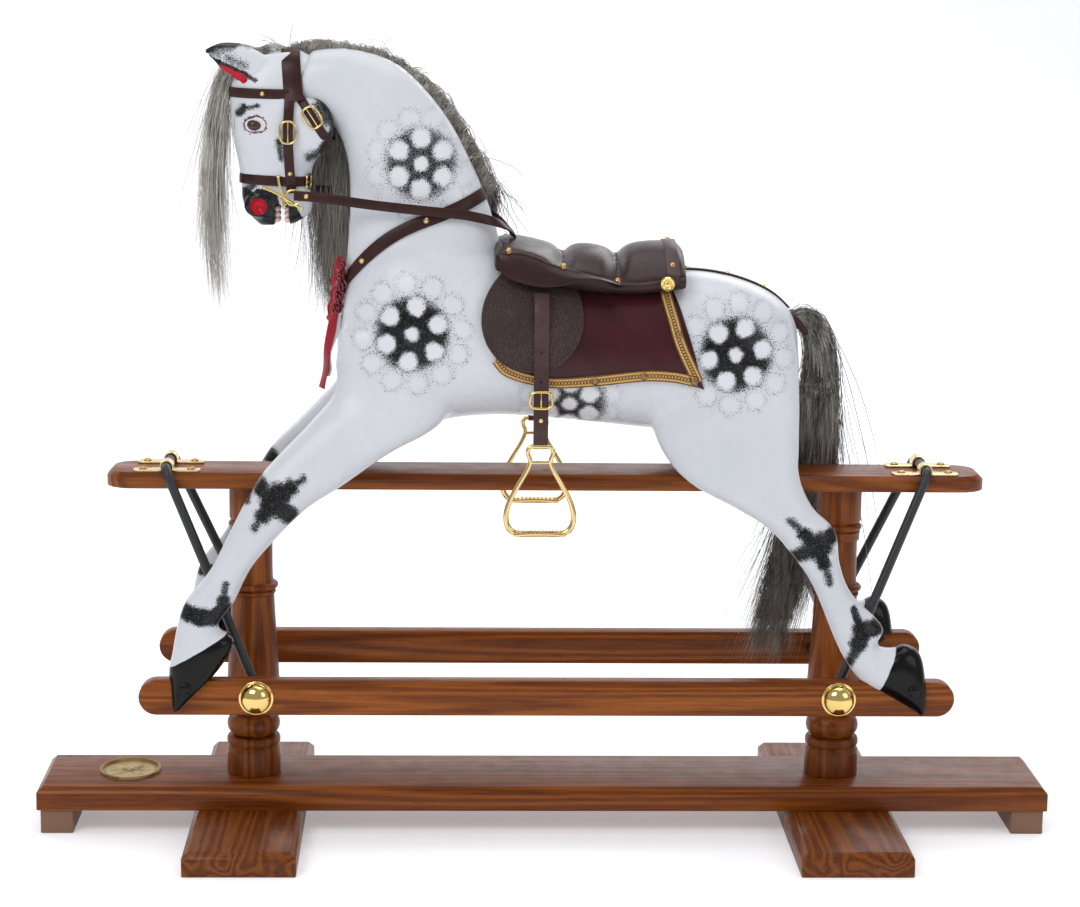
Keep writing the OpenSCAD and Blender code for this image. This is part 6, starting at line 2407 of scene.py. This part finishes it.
    def stirrup(self, side: int, word: str) -> None:
        """Makes a stirrup leather with its buckle, and the stirrup iron.

        Args:
            side: NEAR or FAR.
            word: Name of the side.
        """
        x0, y = self.strap_x, side * self.strap_y
        out = (0, side, 0)
        top = [(x0, side * 101, 741), (x0, side * 110, 728), (x0, y, 712)]
        path = curve_through([*top, (x0, y, 680), (x0, y, 560), (x0, y, 541)], 4)
        sketch = ribbon(Sketch(), path, one_way(out, path), 19.5, 2.0, -1.2)
        low = curve_through([(x0, y + side * bow, z) for bow, z in ((0, 606), (1.5, 570), (0.5, 546), (-3, 538),
                                                                    (-5.4, 545), (-4.6, 570), (-3.6, 596))], 3)
        ribbon(sketch, low, np.cross(ways_along(low), (-side, 0, 0)), 18.5, 1.6, 0.2)
        place(sketch.object(f"{word}_leather_strap", 50), f"{word}_leather", self.strap_leather,
              [f"{word}_stirrup_leather"])
        holes, metal = Sketch(), Sketch()
        # dark discs on the leather's face: painted shade for the depth of its punched openings
        for z in (703, 665, 626):
            holes.lathe([(0, -0.5), (1.5, -0.5), (1.7, 0.1), (1.0, 0.05), (0, 0.0)],
                        mm(x0, y + side * 0.85, z), out, 14)
        place(holes.object(f"{word}_leather_holes", None), f"{word}_leather", self.hole)
        oval(metal, mm(x0, y + side * 2.6, 602), Vector(out), Vector((0, 0, 1)), 29, 22, 1.9, 3.4)
        stud(metal, mm(x0, y + side * 2.0, 575), out, 3.6, 2.4)
        place(metal.object(f"{word}_leather_buckle", 50), f"{word}_leather", self.bright, [f"{word}_stirrup_buckle"])
        ring = Sketch()
        half = [(0, 540), (7, 540.5), (13, 541), (17, 537), (17, 530), (13, 524), (13.5, 517), (19, 505), (28, 490),
                (37, 474), (43, 459), (45, 447), (43.5, 435), (38, 427), (29, 423)]
        loop = [(x0 + x, y, z) for x, z in half] + [(x0 - x, y, z) for x, z in half[:0:-1]]
        outline = smoothed(resample(np.array([mm(*p) for p in loop] + [mm(*loop[0])]), 0.003)[:-1], 2, True)
        thick = [(2.9 + 1.1 * float(np.clip((0.5 - p[2]) / 0.06, 0, 1))) * MM for p in outline]
        ring.tube(outline, thick, 14, True)
        ring.tube([mm(x0 + x, y, 519) for x in np.linspace(-13, 13, 10)], 2.3 * MM, 12)
        tread = np.array([mm(x0 + x, y, 420.5 + 1.5 * math.cos(x / 20)) for x in np.linspace(-34, 34, 24)])
        ribbon(ring, tread, one_way((0, 0, 1), tread), 14.6, 4.6)
        for x in np.arange(-28, 29, 5.6):
            ring.slab((2.2, 13, 1.4), (x0 + x, y, 427.6), 0.5)
        place(ring.object(f"{word}_iron_ring", 50), f"{word}_stirrup", self.iron, [f"{word}_stirrup_iron"])


# ---------------------------------------------------------------- hair

@dataclass
class Lock:
    """One tuft of hair, in millimetres: its line, its spread, and beside what y it stays below what z."""

    line: tuple
    start_spread: tuple[float, float, float]
    end_spread: tuple[float, float, float]
    count: int
    curl: float = 3.0
    width: float = 0.55
    stray: float = 0.1
    shorten: float = 0.3
    beside: tuple[float, float] | None = None


class Groom:
    """Grows strands of hair as thin three-sided tapered prisms."""

    clumps = 16

    def __init__(self, seed: int) -> None:
        """Starts with a seed, so that each build is the same."""
        self.random = np.random.default_rng(seed)
        self.sketch = Sketch()

    def grow(self, lock: Lock, steps: int = 15) -> None:
        """Grows all strands of a lock.

        Args:
            lock: The lock.
            steps: Joints of one strand.
        """
        fine = smooth_rows(lock.line, 6)
        long = np.concatenate([[0], np.cumsum(np.linalg.norm(np.diff(fine, axis=0), axis=1))])
        rng, n = self.random, lock.count
        t = np.linspace(0, 1, steps)
        reach = 1 - lock.shorten * rng.random(n) ** 2
        at = t[None, :] * reach[:, None] * long[-1]
        middle = np.stack([np.interp(at, long, fine[:, k]) for k in range(3)], 2)
        spin = rng.normal(0, 0.48, (n, 1, 3))
        ease = (t ** 0.7)[None, :, None]
        spread = np.array(lock.start_spread) * (1 - ease) + np.array(lock.end_spread) * ease
        clump = rng.integers(0, self.clumps, n)
        pulls = rng.normal(0, 0.34, (self.clumps, 1, 3))
        offset = (spin * (1 - 0.62 * ease) + pulls[clump] * ease) * spread
        phase, rate = rng.random((n, 1, 3)) * 6.28, rng.uniform(0.6, 1.7, (n, 1, 3))
        curl = np.sin(phase + rate * t[None, :, None] * 7) * lock.curl * ease
        wild = rng.random((n, 1, 1)) < lock.stray
        far = rng.normal(0, 1, (n, 1, 3)) * (t ** 1.6)[None, :, None] * np.linalg.norm(lock.end_spread) * 0.9
        path = middle + offset + curl + np.where(wild, far, 0)
        if lock.beside is not None:
            side, top = lock.beside
            nearest = side + 9 * rng.random((n, 1)) - (side + 30) * np.clip((path[..., 2] - top) / 60, 0, 1)
            path[..., 1] = np.maximum(path[..., 1], nearest)
        path = path * MM
        self.prisms(path, lock.width * rng.uniform(0.7, 1.2, n))

    def prisms(self, path: np.ndarray, width: np.ndarray) -> None:
        """Adds a three-sided prism along each path, thin at its tip.

        Args:
            path: Points of the strands, in metres.
            width: Radius of each strand in millimetres.
        """
        n, steps, _ = path.shape
        way = np.gradient(path, axis=1)
        way /= np.linalg.norm(way, axis=2)[..., None] + 1e-12
        side = np.cross(way, (0.3, 0.9, 0.2))
        side /= np.linalg.norm(side, axis=2)[..., None] + 1e-12
        up = np.cross(way, side)
        taper = np.interp(np.linspace(0, 1, steps), [0, 0.08, 0.6, 1], [0.7, 1, 0.85, 0.12])
        size = width[:, None, None] * taper[None, :, None] * MM
        corners = [path + (side * math.cos(a) + up * math.sin(a)) * size for a in (0.0, 2.094, 4.189)]
        points = np.stack(corners, 2).reshape(-1, 3)
        base = (np.arange(n) * steps * 3)[:, None, None] + (np.arange(steps - 1) * 3)[None, :, None]
        quads = []
        for k in range(3):
            j = (k + 1) % 3
            quads.append(np.concatenate([base + k, base + j, base + 3 + j, base + 3 + k], 2).reshape(-1, 4))
        faces = np.concatenate(quads).tolist()
        first = (np.arange(n) * steps * 3)[:, None]
        caps = np.concatenate([first + 2, first + 1, first], 1).tolist()
        caps += (np.concatenate([first, first + 1, first + 2], 1) + (steps - 1) * 3).tolist()
        self.sketch.add(points, faces + caps)


@dataclass
class Coiffure:
    """Mane, forelock and tail, strand by strand."""

    mane: Hair = Hair("mane_hair", light=(196, 190, 180), dark=(78, 73, 68), balance=0.55)
    fringe: Hair = Hair("forelock_hair", light=(222, 218, 210), dark=(110, 104, 97), balance=0.66)
    tail: Hair = Hair("tail_hair", light=(186, 182, 174), dark=(46, 43, 41), balance=0.45)

    def build(self) -> None:
        """Grows all the hair."""
        self.neck_hair()
        self.front_hair()
        self.tail_hair()

    def neck_hair(self) -> None:
        """Grows the mane: rooted along the crest and falling over the far side."""
        roots = smooth_rows(((-343, 2, 1047), (-318, 2, 1053), (-290, 2, 1050), (-262, 2, 1046), (-232, 2, 1040),
                             (-205, 2, 1024), (-178, 2, 1004), (-155, 2, 980), (-138, 2, 955), (-120, 2, 925),
                             (-104, 2, 896), (-92, 2, 868)), 3)
        for part, seed in (("upper", 3), ("lower", 5)):
            groom = Groom(seed)
            rows = roots[: len(roots) // 2 + 1] if part == "upper" else roots[len(roots) // 2:]
            for i, (x, _, z) in enumerate(rows):
                drop = float(np.interp(x, (-343, -300, -250, -150, -92), (330, 380, 320, 190, 85)))
                lean = float(np.interp(x, (-343, -300, -250, -150, -92), (36, 12, -22, -6, 4)))
                line = ((x, 2, z - 9), (x + 2, 11, z + 3), (x + 7, 32, z + 1), (x + 12, 53, z - 26),
                        (x + lean * 0.7, 62, z - drop * 0.5), (x + lean, 68, z - drop))
                groom.grow(Lock(line, (9, 3, 3), (26, 9, 22), 140, 3.4, 0.5, 0.12, 0.4), 12)
                if i % 2 == 0:
                    line = ((x, 0, z - 8), (x + 3, -2, z + 2), (x + 11, 3, z + 9), (x + 24, 12, z + 3))
                    groom.grow(Lock(line, (9, 3, 2), (12, 8, 7), 16, 2, 0.4, 0.3, 0.5), 9)
            piece = groom.sketch.object(f"mane_{part}", None)
            place(piece, "horse", self.mane, ["mane"] if part == "upper" else [])

    def front_hair(self) -> None:
        """Grows the forelock, which hangs in front of the face."""
        groom = Groom(11)
        fall = ((-356, 0, 1038), (-390, 0, 1042), (-420, 2, 1026), (-436, 4, 986), (-444, 6, 920), (-448, 6, 850),
                (-448, 6, 780), (-444, 5, 712))
        groom.grow(Lock(fall, (6, 14, 3), (21, 13, 30), 560, 3.0, 0.45, 0.05, 0.5), 22)
        for y, x in ((-10, -6), (8, 4), (0, -14)):
            line = tuple((p[0] + x * k / 7, p[1] + y * k / 5, p[2]) for k, p in enumerate(fall[:7]))
            groom.grow(Lock(line, (6, 10, 3), (13, 10, 26), 170, 3.5, 0.42, 0.08, 0.6), 20)
        top = ((-350, 0, 1046), (-362, -2, 1054), (-378, -4, 1050), (-392, -8, 1036))
        groom.grow(Lock(top, (8, 12, 2), (7, 12, 5), 120, 2, 0.45, 0.1, 0.4), 10)
        place(groom.sketch.object("forelock_strands", None), "horse", self.fringe, ["forelock"])

    def tail_hair(self) -> None:
        """Grows the tail in an inner and an outer layer."""
        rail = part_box("top_rail")[1].y / MM + 5
        dock = ((322, 0, 694), (340, 0, 699), (356, 3, 690), (367, 12, 664), (373, 30, 632), (375, 50, 596),
                (374, rail + 7, 560), (370, rail + 10, 500), (361, rail + 14, 420), (346, rail + 16, 350),
                (328, rail + 17, 285), (310, rail + 17, 222))
        for name, seed, count, spread, end in (("tail_inner", 21, 800, (7, 7, 6), (25, 9, 38)),
                                               ("tail_middle", 22, 800, (8, 8, 6), (32, 12, 42)),
                                               ("tail_outer", 23, 760, (9, 9, 7), (40, 15, 48))):
            groom = Groom(seed)
            groom.grow(Lock(dock, spread, end, count, 4.5, 0.55, 0.05, 0.42, (rail, 588)), 24)
            for shift, share in ((-16, 0.35), (17, 0.3)):
                line = tuple((p[0] + shift * min(k, 7) / 7, p[1], p[2] + abs(shift) * 0.3 * (k > 4))
                             for k, p in enumerate(dock))
                groom.grow(Lock(line, spread, (end[0] * 0.6, end[1], end[2]), int(count * share), 4, 0.5, 0.08, 0.5,
                                (rail, 588)), 22)
            piece = groom.sketch.object(name, None)
            place(piece, "horse", self.tail, ["tail"] if name == "tail_inner" else [])


# ---------------------------------------------------------------- assembly

def main() -> None:
    """Builds every sub-assembly in order."""
    logging.basicConfig(level=logging.INFO, format="%(name)s: %(message)s")
    bpy.context.scene.view_settings.view_transform = "Standard"
    Studio().build()
    Stand().build()
    Swing().build()
    horse = Horse()
    body, head = horse.build()
    skin = Skin([body, head])
    Tack(skin, Skin([head])).build()
    Saddle(skin, horse.barrel).build()
    Coiffure().build()


if __name__ == "__main__":
    main()
